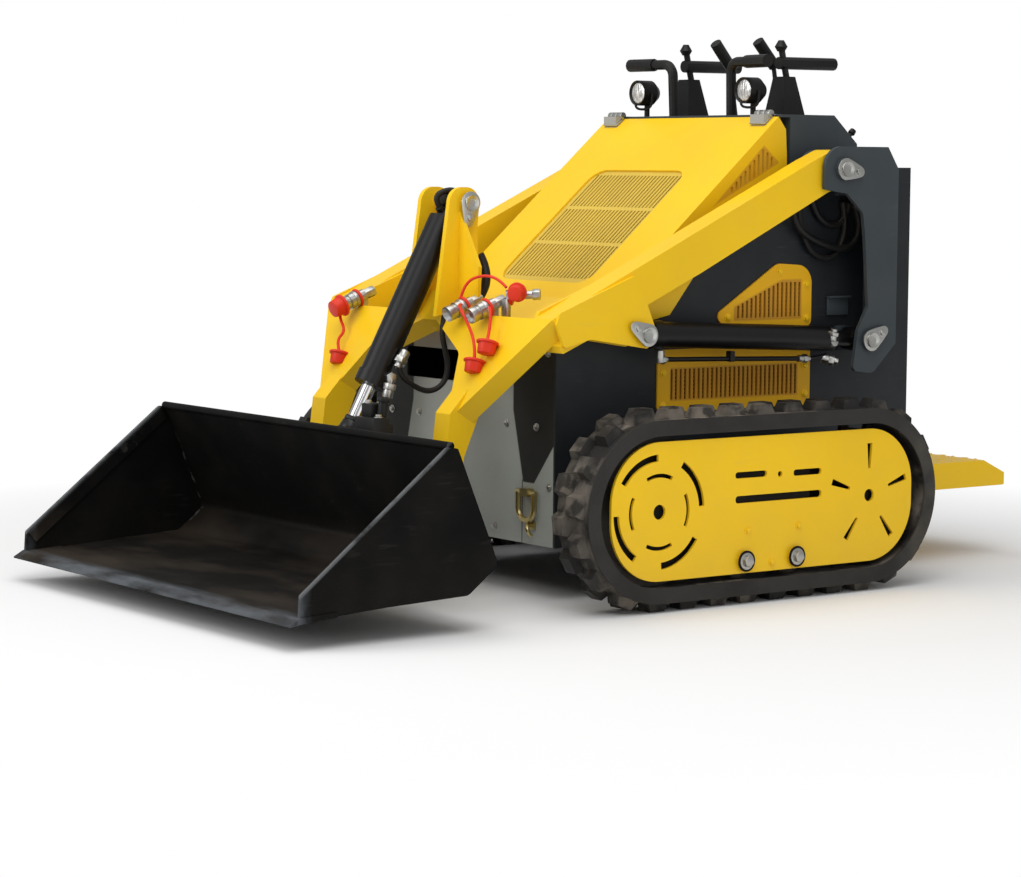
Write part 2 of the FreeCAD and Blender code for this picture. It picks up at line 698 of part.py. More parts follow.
def cylinder_pair(foot, eye, y, outer, rod, barrel_start, barrel_end, bore_start, rod_start, pin, eye_half):
    """Barrel with its pinned foot, and the rod with its eye; the rod runs in the barrel's bore."""
    axis = unit(foot, eye)
    base = V(foot[0], y, foot[1])
    tip = V(eye[0], y, eye[1])
    body = Part.makeCylinder(outer, barrel_end - barrel_start, base + axis * barrel_start, axis)
    gland = Part.makeCylinder(outer + 3, 26, base + axis * (barrel_end - 26), axis)
    neck = Part.makeCylinder(outer * 0.62, barrel_start, base, axis)
    foot_eye = cross_bar(foot[0], foot[1], pin * 2.0, y - eye_half, y + eye_half)
    barrel = fused([body, gland, neck, foot_eye])
    barrel = barrel.cut(cross_bar(foot[0], foot[1], pin + running_fit, y - eye_half - 1, y + eye_half + 1))
    length = (tip - base).Length
    bore = Part.makeCylinder(rod + running_fit, barrel_end - bore_start + 10, base + axis * bore_start, axis)
    barrel = barrel.cut(bore)
    shaft = Part.makeCylinder(rod, length - rod_start - 12, base + axis * rod_start, axis)
    rod_eye = cross_bar(eye[0], eye[1], pin * 1.9, y - eye_half, y + eye_half)
    return barrel, shaft.fuse(rod_eye)


lift_barrel, lift_rod = cylinder_pair(lift_foot, lift_eye, cylinder_y, barrel_radius, rod_radius,
                                      70, 560, 80, 84, pin_radius, 24)
tilt_barrel, tilt_rod = cylinder_pair(tilt_head, tilt_eye, 0, tilt_barrel_radius, tilt_rod_radius,
                                      40, 421, 50, 114, pin_radius, 18)


# ---------------------------------------------------------------- bucket
floor_front = (932.0, 57.2)
floor_heel = (642.0, 75.0)
back_heel = (578.0, 127.0)
back_top = (672.0, 352.0)
plate = 7.0
side_plate = 8.0
bucket_half = bucket_width / 2


def bucket_shell():
    """Floor, heel and back in one bent plate, ending in a round bar along the top edge."""
    outline = [floor_front, floor_heel, back_heel, back_top, (back_top[0] + plate, back_top[1] - 3),
               (back_heel[0] + plate + 2, back_heel[1] + 3), (floor_heel[0] + 4, floor_heel[1] + plate),
               (floor_front[0], floor_front[1] + plate)]
    shell = side_prism([outline[0], floor_heel + (30,), back_heel + (18,)] + outline[3:5]
                       + [outline[5] + (12,), outline[6] + (24,), outline[7]],
                       -bucket_half + side_plate, bucket_half - side_plate)
    bar = cross_bar(back_top[0] + 6, back_top[1] + 2, 8, -bucket_half + side_plate, bucket_half - side_plate)
    return shell.fuse(bar)


def bucket_sides():
    """Side plates with a stiffening strip along the inside of each front edge."""
    outline = [(1011, 58), (1008, 102, 6), (690, 353, 10), (667, 350, 6), (577, 136, 8), (579, 121, 8),
               (642, 73, 20)]
    left = side_prism(outline, bucket_half - side_plate, bucket_half)
    strip = side_prism([(1004, 99), (692, 345), (677, 326), (989, 80)], bucket_half - side_plate - 6,
                       bucket_half - side_plate)
    return both_sides(left.fuse(strip).cut(cutting_edge()))


def cutting_edge():
    """Bevelled wear strip along the lip."""
    return side_prism([(1033, 47), (1033, 50), (1012, 62), (932, 67), (932, 57.2), (1010, 50)],
                      -bucket_half - 3, bucket_half + 3)


def back_at(distance, offset):
    """Point at a distance up the bucket's back plate and an offset behind it."""
    slope = unit(back_heel, back_top)
    return (back_heel[0] + slope.x * distance - slope.z * offset,
            back_heel[1] + slope.z * distance + slope.x * offset)


def quick_attach():
    """Frame on the bucket's back: plate, arm ears with their pins and the two ears for the tilt rod."""
    thick = 12.0
    shapes = [side_prism([back_at(22, 0), back_at(222, 0), back_at(222, thick), back_at(22, thick)],
                         -310, 310)]
    qx, qz = bucket_pivot
    ear = [back_at(24, 2), back_at(160, 2), back_at(170, 20), (qx - 8, qz + 32, 26), (qx - 34, qz - 8, 30),
           (qx + 8, qz - 32, 26)]
    for side in (1, -1):
        for y0, y1 in ((leg_inner - 14, leg_inner - 3), (leg_outer + 3, leg_outer + 14)):
            shapes.append(side_prism(ear, side * y0, side * y1, 4))
        shapes.append(cross_bar(qx, qz, 16, *sorted((side * (leg_inner - 18), side * (leg_outer + 18)))))
    rx, rz = tilt_eye
    tilt_ear = [back_at(60, 2), back_at(218, 2), (rx + 10, rz + 30, 18), (rx - 30, rz + 12, 22),
                (rx - 16, rz - 28, 18)]
    for side in (1, -1):
        shapes.append(side_prism(tilt_ear, side * 21, side * 32, 4))
        shapes.append(many_sided(rx, rz, 18, *sorted((side * 32, side * 40)), 20))
    return fused(shapes)


# ---------------------------------------------------------------- controls, lamps, platform, rings
def control_bars():
    """Fixed L-shaped hand bars rising from the console and turning outward."""
    bar = bent_tube([(-362, 98, 984), (-358, 100, 1098), (-346, 228, 1098)], bar_radius, 26, 12)
    grip = bent_tube([(-353, 158, 1098), (-345, 236, 1098)], bar_radius + 3, 0, 12)
    return both_sides(bar.fuse(grip).cut(console()))


def boot():
    """Four-sided boot on the console, narrowing up to the lever's stem."""
    def ring(x0, x1, half, z):
        return [V(x0, 162 - half, z), V(x1, 162 - half, z), V(x1, 162 + half, z), V(x0, 162 + half, z)]

    return tapered_block(ring(-490, -428, 33, 980), ring(-472, -440, 18, 1068))


def control_levers():
    """Drive levers in their boots with rearward grips, and two auxiliary levers."""
    stem = bent_tube([(-463, 162, 1064), (-447, 162, 1128)], 7, 0, 8)
    knob = Part.makeCone(8, 14, 10, V(-446, 162, 1122)).fuse(Part.makeCone(14, 6, 14, V(-446, 162, 1132)))
    grip = bent_tube([(-440, 161, 1097), (-600, 161, 1098)], 13.5, 0, 12)
    drive = fused([boot(), stem, knob, grip])
    auxiliary_stem = bent_tube([(-528, 74, 940), (-500, 74, 1104)], 5, 0, 8)
    auxiliary_grip = bent_tube([(-504, 74, 1094), (-457, 72, 1147)], 13, 0, 12)
    auxiliary = auxiliary_stem.fuse(auxiliary_grip)
    left = [shape.cut(console()) for shape in (drive, auxiliary)]
    return Part.makeCompound(left + [mirrored(shape) for shape in left])


def work_lamps():
    """Round lamps on short stalks in front of the levers."""
    shell = Part.makeCylinder(28, 34, V(-360, 182, 1036), V(1, 0, 0))
    back = Part.makeCone(16, 28, 16, V(-376, 182, 1036), V(1, 0, 0))
    stalk = Part.makeCylinder(6, 40, V(-352, 182, 984), V(0, 0, 1))
    return both_sides(fused([shell, back, stalk]))


def platform():
    """Ride-on platform: bent tread plate with side skirts."""
    outline = [(body_rear_x, 158), (body_rear_x, 217), (-968, 217), (-1033, 186), (-1033, 160), (-1028, 158)]
    hollow = [(body_rear_x + 1, 150), (body_rear_x + 1, 211), (-969.5, 211), (-1027, 182), (-1027, 150)]
    return side_prism(outline, -280, 280).cut(side_prism(hollow, -274, 274))


def tie_rings():
    """Lashing rings on the front panel, each on a welded saddle."""
    x = body_front_x + 10
    wire = [(x, 214, 216), (x, 214, 160), (x, 268, 160), (x, 268, 216)]
    ring = bent_tube(wire, 6, 24, 8)
    pin = bent_tube([(x, 208, 216), (x, 274, 216)], 5, 0, 8)
    saddle = block(body_front_x, x + 7, 228, 254, 208, 224)
    return both_sides(fused([ring, pin, saddle]))


def side_hoses():
    """Hose loops beside each tower, from one body fitting to the other."""
    y = body_half + 10.5
    route = [(-475, y, 800), (-484, y, 740), (-452, y, 676), (-388, y, 690), (-356, y, 744), (-350, y, 806)]
    return both_sides(bent_tube(route, 6.5, gentle_bends(route), 10))


# ---------------------------------------------------------------- export
left_right = {
    "track_belt": track_belt(),
    "track_plate": track_plate(),
    "track_frame": track_frame(),
    "track_wheels": track_wheels(),
    "side_panel": side_panel(),
    "tower": tower(),
    "arm": arm(),
    "lift_barrel": lift_barrel,
    "lift_rod": lift_rod,
}
nodes = {
    "front_panel": front_panel(),
    "front_cowl": front_cowl(),
    "rear_panel": rear_panel(),
    "floor_pan": floor_pan(),
    "side_grilles": side_grilles(),
    "engine_block": engine_block(),
    "console": console(),
    "hood_shell": hood_shell(),
    "hood_mesh": hood_mesh(),
    "crossmember": crossmember(),
    "tilt_bracket": tilt_bracket(),
    "couplers": couplers(),
    "tilt_barrel": tilt_barrel,
    "tilt_rod": tilt_rod,
    "quick_attach": quick_attach(),
    "bucket_shell": bucket_shell(),
    "bucket_sides": bucket_sides(),
    "cutting_edge": cutting_edge(),
    "control_bars": control_bars(),
    "control_levers": control_levers(),
    "work_lamps": work_lamps(),
    "platform": platform(),
    "tie_rings": tie_rings(),
    "side_hoses": side_hoses(),
}
for name, shape in left_right.items():
    nodes[name + "_left"] = shape
    nodes[name + "_right"] = mirrored(shape)

os.makedirs("parts", exist_ok=True)
for name, shape in nodes.items():
    shape.exportStep("parts/" + name + ".step")
    box = shape.BoundBox
    print("%-20s solids %d valid %s volume %8.0f cm3  X %6.0f..%6.0f  Y %6.0f..%6.0f  Z %6.0f..%6.0f" % (
        name, len(shape.Solids), shape.isValid(), shape.Volume / 1000, box.XMin, box.XMax, box.YMin,
        box.YMax, box.ZMin, box.ZMax))
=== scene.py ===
"""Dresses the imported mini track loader: finishes for every node, its small hardware, hoses, caps and the stage."""

import json
import math

import bpy
from mathutils import Matrix, Vector


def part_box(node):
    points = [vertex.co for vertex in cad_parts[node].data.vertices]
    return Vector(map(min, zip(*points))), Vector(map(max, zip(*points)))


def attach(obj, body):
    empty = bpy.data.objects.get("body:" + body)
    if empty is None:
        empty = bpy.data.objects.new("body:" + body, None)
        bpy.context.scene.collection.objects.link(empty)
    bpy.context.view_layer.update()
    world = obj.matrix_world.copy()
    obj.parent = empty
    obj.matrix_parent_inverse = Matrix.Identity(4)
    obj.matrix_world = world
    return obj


bl_info = {
    "name": "Mini Track Loader Dressing",
    "version": (1, 0, 0),
    "blender": (4, 5, 0),
    "location": "3D View > Sidebar > Loader",
    "description": "Finishes and small fittings for a stand-on mini track loader",
    "category": "Object",
}

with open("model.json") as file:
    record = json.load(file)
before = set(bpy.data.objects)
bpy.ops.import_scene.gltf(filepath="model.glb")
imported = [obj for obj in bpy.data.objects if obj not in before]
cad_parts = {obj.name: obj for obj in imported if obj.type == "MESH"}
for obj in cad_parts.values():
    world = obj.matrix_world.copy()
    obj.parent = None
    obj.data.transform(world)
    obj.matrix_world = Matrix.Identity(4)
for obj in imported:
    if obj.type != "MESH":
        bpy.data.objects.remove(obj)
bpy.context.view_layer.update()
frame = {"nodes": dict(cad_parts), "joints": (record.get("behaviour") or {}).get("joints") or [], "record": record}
NODES = frame["nodes"]
PIVOTS = {joint["name"]: Vector(joint["pos_m"]) for joint in frame["joints"] if "pos_m" in joint}
SIDES = {"left": 1, "right": -1}

MM = 0.001
UP = Vector((0, 0, 1))
AHEAD = Vector((1, 0, 0))
SIDEWAYS = Vector((0, 1, 0))
SMOOTH_ANGLE = math.radians(35)
# centres of the rods' eyes in the side view, and the way the couplers point
LIFT_EYE = Vector((0.120, 0, 0.538))
TILT_EYE = Vector((0.565, 0, 0.315))
COUPLER_AXIS = Vector((0.936, 0, -0.351))
# distances from the middle: middle, outer and right coupler and the lift cylinders in millimetres, the rest in metres
COUPLERS = (116, 196, -284)
LIFT_LINE = 377
BRACKET_FACE = 0.068
CARRIER_FACE = 0.273
HINGE_MIDDLE = 0.253
# sizes of the fittings, and the slope of the hood behind its hinges
ROLLER_BOLT = 0.0128
COVER_BOLT = 0.0062
LAMP_RADIUS = 0.028
TREAD_PITCH = 0.036
HOOD_SLOPE = math.radians(40.9)
SCUFF_GREY = (0.32, 0.31, 0.29)


class LoaderColours(bpy.types.PropertyGroup):
    """Colours of the paints, rubbers and metals."""

    yellow: bpy.props.FloatVectorProperty(
        name="Yellow paint", description="Hood, arms and bracket", subtype="COLOR", size=3, default=(0.90, 0.56, 0.008)
    )
    vent_yellow: bpy.props.FloatVectorProperty(
        name="Vent yellow", description="Grille frames and hood mesh", subtype="COLOR",
        size=3, default=(0.58, 0.275, 0.022),
    )
    body_black: bpy.props.FloatVectorProperty(
        name="Body black", description="Side and rear panels", subtype="COLOR", size=3, default=(0.013, 0.016, 0.020)
    )
    tower_grey: bpy.props.FloatVectorProperty(
        name="Tower grey", description="Towers and console", subtype="COLOR", size=3, default=(0.045, 0.056, 0.063)
    )
    panel_grey: bpy.props.FloatVectorProperty(
        name="Panel grey", description="Front panel", subtype="COLOR", size=3, default=(0.34, 0.365, 0.34)
    )
    bucket_black: bpy.props.FloatVectorProperty(
        name="Bucket black", description="Bucket and its carrier", subtype="COLOR",
        size=3, default=(0.0045, 0.0043, 0.0042),
    )
    rubber: bpy.props.FloatVectorProperty(
        name="Track rubber", description="Track belts", subtype="COLOR", size=3, default=(0.012, 0.0115, 0.011)
    )
    dust: bpy.props.FloatVectorProperty(
        name="Dust", description="Dry dust on rubber and low panels", subtype="COLOR",
        size=3, default=(0.22, 0.19, 0.155),
    )
    cap_red: bpy.props.FloatVectorProperty(
        name="Cap red", description="Dust caps of the couplers", subtype="COLOR", size=3, default=(0.72, 0.035, 0.012)
    )


class LoaderSizes(bpy.types.PropertyGroup):
    """Sizes of the small hardware."""

    pin_radius: bpy.props.FloatProperty(
        name="Pin head", description="Radius of a hinge pin's head", unit="LENGTH", default=0.016
    )
    pipe_radius: bpy.props.FloatProperty(
        name="Pipe", description="Radius of the hard hydraulic pipes", unit="LENGTH", default=0.005
    )
    hose_radius: bpy.props.FloatProperty(
        name="Hose", description="Radius of the hydraulic hoses", unit="LENGTH", default=0.0075
    )
    camera_lens: bpy.props.FloatProperty(
        name="Camera lens", description="Focal length in millimetres", default=101.9
    )


def colours():
    return bpy.context.scene.loader_colours


def sizes():
    return bpy.context.scene.loader_sizes


# node groups


def preset(node, values):
    """Sets a node's inputs by name."""
    for label, value in values.items():
        node.inputs[label].default_value = value


def feed(tree, socket, given):
    """Links a socket to another one, or sets its plain value."""
    if isinstance(given, bpy.types.NodeSocket):
        tree.links.new(given, socket)
    else:
        socket.default_value = given


def new_group(name, inputs, outputs):
    """An empty shader group with named sockets, and its input and output nodes."""
    group = bpy.data.node_groups.new(name, "ShaderNodeTree")
    for label, value in inputs.items():
        kind = "NodeSocketFloat" if isinstance(value, float) else "NodeSocketColor"
        group.interface.new_socket(label, in_out="INPUT", socket_type=kind).default_value = value
    for label, kind in outputs.items():
        group.interface.new_socket(label, in_out="OUTPUT", socket_type=kind)
    return group, group.nodes.new("NodeGroupInput"), group.nodes.new("NodeGroupOutput")


def position(tree):
    """The piece's own X, Y and Z in metres."""
    place = tree.nodes.new("ShaderNodeTexCoord")
    split = tree.nodes.new("ShaderNodeSeparateXYZ")
    tree.links.new(place.outputs["Object"], split.inputs["Vector"])
    return split.outputs["X"], split.outputs["Y"], split.outputs["Z"]


def noise(tree, scale, detail, stretch=None):
    """A noise mask on the piece's own coordinates, stretched along its axes when asked."""
    source = tree.nodes.new("ShaderNodeTexCoord").outputs["Object"]
    texture = tree.nodes.new("ShaderNodeTexNoise")
    preset(texture, {"Detail": detail, "Scale": scale})
    if stretch:
        mapping = tree.nodes.new("ShaderNodeMapping")
        mapping.inputs["Scale"].default_value = stretch
        tree.links.new(source, mapping.inputs["Vector"])
        source = mapping.outputs["Vector"]
    tree.links.new(source, texture.inputs["Vector"])
    return texture.outputs["Fac"]


def remap(tree, value, low, high, to_low=0.0, to_high=1.0):
    """Stretches a mask between two of its values."""
    node = tree.nodes.new("ShaderNodeMapRange")
    tree.links.new(value, node.inputs["Value"])
    for label, given in (("From Min", low), ("From Max", high), ("To Min", to_low), ("To Max", to_high)):
        feed(tree, node.inputs[label], given)
    return node.outputs["Result"]


def math_node(tree, operation, first, second, clamp=False):
    """One step of arithmetic on masks or numbers."""
    node = tree.nodes.new("ShaderNodeMath")
    node.operation = operation
    node.use_clamp = clamp
    for socket, given in zip(node.inputs, (first, second)):
        feed(tree, socket, given)
    return node.outputs["Value"]


def product(tree, first, *others):
    """Masks and numbers multiplied from left to right."""
    for other in others:
        first = math_node(tree, "MULTIPLY", first, other)
    return first


def gap(tree, first, second):
    """The first value less the second."""
    return math_node(tree, "SUBTRACT", first, second)


def absolute(tree, value):
    """A value without its sign."""
    return math_node(tree, "ABSOLUTE", value, 0.0)


def blend_colours(tree, mask, first, second):
    """Two colours blended by a mask."""
    node = tree.nodes.new("ShaderNodeMix")
    node.data_type = "RGBA"
    tree.links.new(mask, node.inputs["Factor"])
    coloured = [socket for socket in node.inputs if socket.type == "RGBA"]
    for socket, given in zip(coloured, (first, second)):
        feed(tree, socket, given)
    return [socket for socket in node.outputs if socket.type == "RGBA"][0]


def build_weathered_group():
    """A finish that fades, gathers dust low down and in patches, and carries scuffs."""
    tree, given, result = new_group(
        "weathered finish",
        {"Paint": (0.8, 0.8, 0.8, 1), "Dust": (0.2, 0.2, 0.2, 1), "Fade": 0.08, "Dust Amount": 0.3, "Dust Top": 0.5,
         "Scuffs": 0.1, "Clean Roughness": 0.35, "Dusty Roughness": 0.8},
        {"Colour": "NodeSocketColor", "Roughness": "NodeSocketFloat", "Height": "NodeSocketFloat"},
    )
    # the paint's own slow change of tone
    tone = product(tree, remap(tree, noise(tree, 3.0, 3.0), 0.3, 0.7, -1.0, 1.0), given.outputs["Fade"])
    brighten = tree.nodes.new("ShaderNodeHueSaturation")
    tree.links.new(math_node(tree, "ADD", tone, 1.0), brighten.inputs["Value"])
    tree.links.new(given.outputs["Paint"], brighten.inputs["Color"])
    # dust: thick near the ground, thin patches above
    amount = given.outputs["Dust Amount"]
    low = remap(tree, position(tree)[2], given.outputs["Dust Top"], 0.0)
    patches = remap(tree, noise(tree, 9.0, 8.0), 0.42, 0.68)
    specks = remap(tree, noise(tree, 160.0, 2.0), 0.52, 0.72)
    dusty = product(tree, math_node(tree, "ADD", patches, low), amount)
    dusty = math_node(tree, "ADD", dusty, product(tree, specks, low, amount), clamp=True)
    # fine scuffs that run along the machine
    scratch = remap(tree, noise(tree, 55.0, 6.0, (0.25, 1.0, 2.6)), 0.60, 0.66)
    worn = remap(tree, noise(tree, 6.0, 5.0), 0.5, 0.65)
    scuffed = math_node(tree, "MULTIPLY", product(tree, scratch, worn), given.outputs["Scuffs"], clamp=True)
    dusted = blend_colours(tree, dusty, brighten.outputs["Color"], given.outputs["Dust"])
    tree.links.new(blend_colours(tree, scuffed, dusted, (*SCUFF_GREY, 1)), result.inputs["Colour"])
    mask = math_node(tree, "ADD", dusty, scuffed, clamp=True)
    rough = remap(tree, mask, 0.0, 1.0, given.outputs["Clean Roughness"], given.outputs["Dusty Roughness"])
    tree.links.new(rough, result.inputs["Roughness"])
    tree.links.new(gap(tree, noise(tree, 420.0, 2.0), scuffed), result.inputs["Height"])
    return tree


WEATHERED = build_weathered_group()


def new_material(name):
    """A new material, its node tree and its shader."""
    material = bpy.data.materials.new(name)
    material.use_nodes = True
    return material, material.node_tree, material.node_tree.nodes["Principled BSDF"]


def emboss(tree, height, strength, distance):
    """Gives a material's shader a relief from a mask."""
    relief = tree.nodes.new("ShaderNodeBump")
    preset(relief, {"Strength": strength, "Distance": distance})
    tree.links.new(height, relief.inputs["Height"])
    tree.links.new(relief.outputs["Normal"], tree.nodes["Principled BSDF"].inputs["Normal"])


def weathered(name, paint, roughness, fade, dust_amount, dust_top, scuffs, dust=None, metallic=0.0, bump=0.05,
              grain=0.0004, coat=0.0, specular=0.25):
    """A material whose colour, roughness (clean and dusty) and grain come from the shared weathered group."""
    material, tree, shader = new_material(name)
    preset(shader, {"Metallic": metallic, "Specular IOR Level": specular, "Coat Weight": coat, "Coat Roughness": 0.12})
    wear = tree.nodes.new("ShaderNodeGroup")
    wear.node_tree = WEATHERED
    preset(wear, {
        "Paint": (*paint, 1),
        "Dust": (*(colours().dust if dust is None else dust), 1),
        "Fade": fade,
        "Dust Amount": dust_amount,
        "Dust Top": dust_top,
        "Scuffs": scuffs,
        "Clean Roughness": roughness[0],
        "Dusty Roughness": roughness[1],
    })
    tree.links.new(wear.outputs["Colour"], shader.inputs["Base Color"])
    tree.links.new(wear.outputs["Roughness"], shader.inputs["Roughness"])
    emboss(tree, wear.outputs["Height"], bump, grain)
    return material


def build_finishes():
    """Every material by the record's slot, then those of single nodes and fittings."""
    shade = colours()
    hose, grip, lamp = (0.008,) * 3, (0.007,) * 3, (0.006,) * 3
    return {
        "yellow_paint": weathered("yellow paint", shade.yellow, (0.38, 0.7), 0.05, 0.04, 0.25, 0.04, coat=0.06),
        "frame_yellow": weathered("vent yellow", shade.vent_yellow, (0.45, 0.8), 0.08, 0.10, 0.6, 0.06),
        "dark_paint": weathered("body black", shade.body_black, (0.42, 0.75), 0.15, 0.04, 0.40, 0.06, specular=0.3),
        "console_grey": weathered("tower grey", shade.tower_grey, (0.40, 0.75), 0.08, 0.04, 0.5, 0.05),
        "panel_grey": build_panel_finish(shade.panel_grey),
        "bucket_black": build_bucket_finish(shade.bucket_black),
        "rubber_track": build_rubber(shade.rubber),
        "cylinder_black": weathered("cylinder black", (0.0022, 0.0022, 0.0026), (0.38, 0.6), 0.1, 0.004, 0.4, 0.02,
                                    specular=0.34),
        "rod_chrome": weathered("rod chrome", (0.62, 0.62, 0.63), (0.12, 0.4), 0.03, 0.05, 0.3, 0.0, metallic=1.0,
                                bump=0.02),
        "zinc_steel": weathered("zinc steel", (0.50, 0.50, 0.48), (0.33, 0.6), 0.12, 0.10, 0.5, 0.1, metallic=1.0,
                                bump=0.15),
        "cast_metal": weathered("cast iron", (0.010, 0.009, 0.008), (0.7, 0.9), 0.2, 0.10, 0.5, 0.05, bump=0.4,
                                grain=0.001),
        "hose_rubber": weathered("hose rubber", hose, (0.45, 0.8), 0.15, 0.05, 0.5, 0.03, bump=0.2),
        "grip_plastic": weathered("grip black", grip, (0.42, 0.8), 0.15, 0.03, 0.5, 0.03, bump=0.2),
        "lamp_black": weathered("lamp black", lamp, (0.34, 0.7), 0.1, 0.03, 0.5, 0.02),
        "hood_mesh": weathered("hood mesh", (0.66, 0.46, 0.065), (0.5, 0.8), 0.06, 0.06, 0.6, 0.03),
        "hood_paint": build_hood_paint(shade.yellow, shade.vent_yellow),
        "vent_screen": weathered("vent screen", (0.42, 0.20, 0.018), (0.5, 0.8), 0.08, 0.08, 0.6, 0.03),
        "vent_cover": build_vent_cover(shade.yellow, shade.vent_yellow),
        # near-black: painted shade on the track frames behind their slots; also the engine block and the roller seals'
        # dark rubber
        "painted_shade_and_black": weathered("painted shade and black", (0.004,) * 3, (0.7, 0.9), 0.1, 0.04, 0.3, 0.02, specular=0.1),
        "cap_red": weathered("cap red", shade.cap_red, (0.38, 0.6), 0.06, 0.03, 0.3, 0.0, bump=0.1),
        "brass": weathered("yellow zinc", (0.56, 0.46, 0.20), (0.30, 0.6), 0.15, 0.08, 0.4, 0.05, metallic=1.0,
                           bump=0.1),
        "lamp_glass": build_lamp_glass(),
    }


def recolour(material, mask, colour):
    """Lays another colour over a finish where the mask is high."""
    tree = material.node_tree
    base = tree.nodes["Principled BSDF"].inputs["Base Color"]
    tree.links.new(blend_colours(tree, mask, base.links[0].from_socket, (*colour, 1)), base)
    return material


def build_rubber(rubber):
    """Belt rubber: smooth and dark on its flanks, dry and dusty in patches on the lugs."""
    material = weathered("track rubber", rubber, (0.55, 0.95), 0.25, 0.90, 0.0, 0.0, bump=0.5, grain=0.002,
                         specular=0.3)
    tree = material.node_tree
    x, y, _ = position(tree)
    bare = remap(tree, noise(tree, 24.0, 4.0), 0.48, 0.58)
    recolour(material, product(tree, bare, 0.8), (0.014, 0.013, 0.012))
    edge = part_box("track_belt_left")[1].y
    flank = remap(tree, absolute(tree, y), edge - 0.006, edge - 0.001)
    recolour(material, flank, (0.026, 0.024, 0.022))
    # lighter tan patches on the flank round the rear bend
    patchy = remap(tree, noise(tree, 11.0, 4.0), 0.35, 0.60)
    rear_lighter_patches = product(tree, flank, remap(tree, x, -0.44, -0.50), patchy, 0.85)
    return recolour(material, rear_lighter_patches, (0.070, 0.064, 0.050))


def build_panel_finish(grey):
    """Front panel: grey in the middle and in the low corners, with a painted shadow up its sides."""
    material = weathered("panel grey", grey, (0.45, 0.8), 0.10, 0.12, 0.5, 0.10)
    tree = material.node_tree
    _, y, z = position(tree)
    half = absolute(tree, y)
    # painted shadow: near-black up each side of the panel, above a sloping lower edge
    lean = product(tree, math_node(tree, "MAXIMUM", gap(tree, 0.379, z), 0.0), 0.247)
    inner = remap(tree, gap(tree, half, lean), 0.180, 0.183)
    rise = gap(tree, z, product(tree, half, 1.225))
    above = product(tree, remap(tree, rise, -0.0785, -0.0755), remap(tree, z, 0.233, 0.236))
    # the seam between the panel's middle and its side
    seam = remap(tree, absolute(tree, gap(tree, half, 0.2145)), 0.0022, 0.0012)
    seam = product(tree, seam, remap(tree, z, 0.242, 0.238), 0.8)
    dark = math_node(tree, "MAXIMUM", product(tree, inner, above), seam)
    return recolour(material, product(tree, dark, 0.97), (0.006, 0.006, 0.0055))


def build_bucket_finish(black):
    """Bucket paint with soil on the floor and bare steel along the lip."""
    material = weathered("bucket black", black, (0.50, 0.75), 0.15, 0.02, 0.20, 0.03, specular=0.06)
    tree = material.node_tree
    x, y, z = position(tree)
    half = absolute(tree, y)
    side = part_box("bucket_sides")[1].y
    inside = remap(tree, half, side - 0.008, side - 0.014)
    blotch = remap(tree, noise(tree, 7.0, 7.0, (1.0, 0.35, 1.0)), 0.40, 0.62)
    soil = product(tree, remap(tree, z, 0.16, 0.07), inside, blotch, 0.55)
    recolour(material, soil, (0.060, 0.046, 0.034))
    # broken pale specks along the welded seams at both ends of the back
    seam = product(tree, remap(tree, half, side - 0.022, side - 0.012), inside, remap(tree, z, 0.30, 0.24))
    specks = product(tree, remap(tree, noise(tree, 46.0, 3.0), 0.56, 0.62), remap(tree, x, 0.80, 0.74))
    recolour(material, product(tree, seam, specks, 0.6), (0.20, 0.19, 0.18))
    worn = remap(tree, noise(tree, 14.0, 6.0, (2.0, 0.5, 1.0)), 0.35, 0.60)
    recolour(material, product(tree, remap(tree, x, 0.985, 1.015), worn, 0.8), (0.115, 0.125, 0.138))
    # bare metal along the front edges of the side plates
    edge = math_node(tree, "ADD", z, product(tree, x, 0.789))
    near = product(tree, remap(tree, edge, 0.8905, 0.8945), remap(tree, inside, 0.5, 0.0))
    rubbed = product(tree, near, remap(tree, noise(tree, 20.0, 5.0), 0.30, 0.50), 0.85)
    return recolour(material, rubbed, (0.13, 0.135, 0.14))


def soft_box(tree, x, z, across, upward):
    """Mask of a rectangle in the side view, with a narrow soft edge."""
    sides = []
    for value, (low, high) in ((x, across), (z, upward)):
        sides += [remap(tree, value, low, low + 0.004), remap(tree, value, high, high - 0.004)]
    return product(tree, *sides)


def build_vent_cover(yellow, field_colour):
    """Vent cover: bright border, darker slit field inside it."""
    border = (yellow[0] * 0.97, yellow[1] * 0.84, yellow[2])
    material = weathered("vent cover", border, (0.45, 0.8), 0.08, 0.06, 0.6, 0.04, dust=(0.2, 0.15, 0.08))
    tree = material.node_tree
    x, _, z = position(tree)
    lower = soft_box(tree, x, z, (-0.362, -0.012), (0.392, 0.464))
    upper = soft_box(tree, x, z, (-0.370, -0.180), (0.552, 0.640))
    slope = remap(tree, math_node(tree, "ADD", z, product(tree, x, 0.42)), 0.510, 0.504)
    return recolour(material, math_node(tree, "MAXIMUM", lower, product(tree, upper, slope)), field_colour)


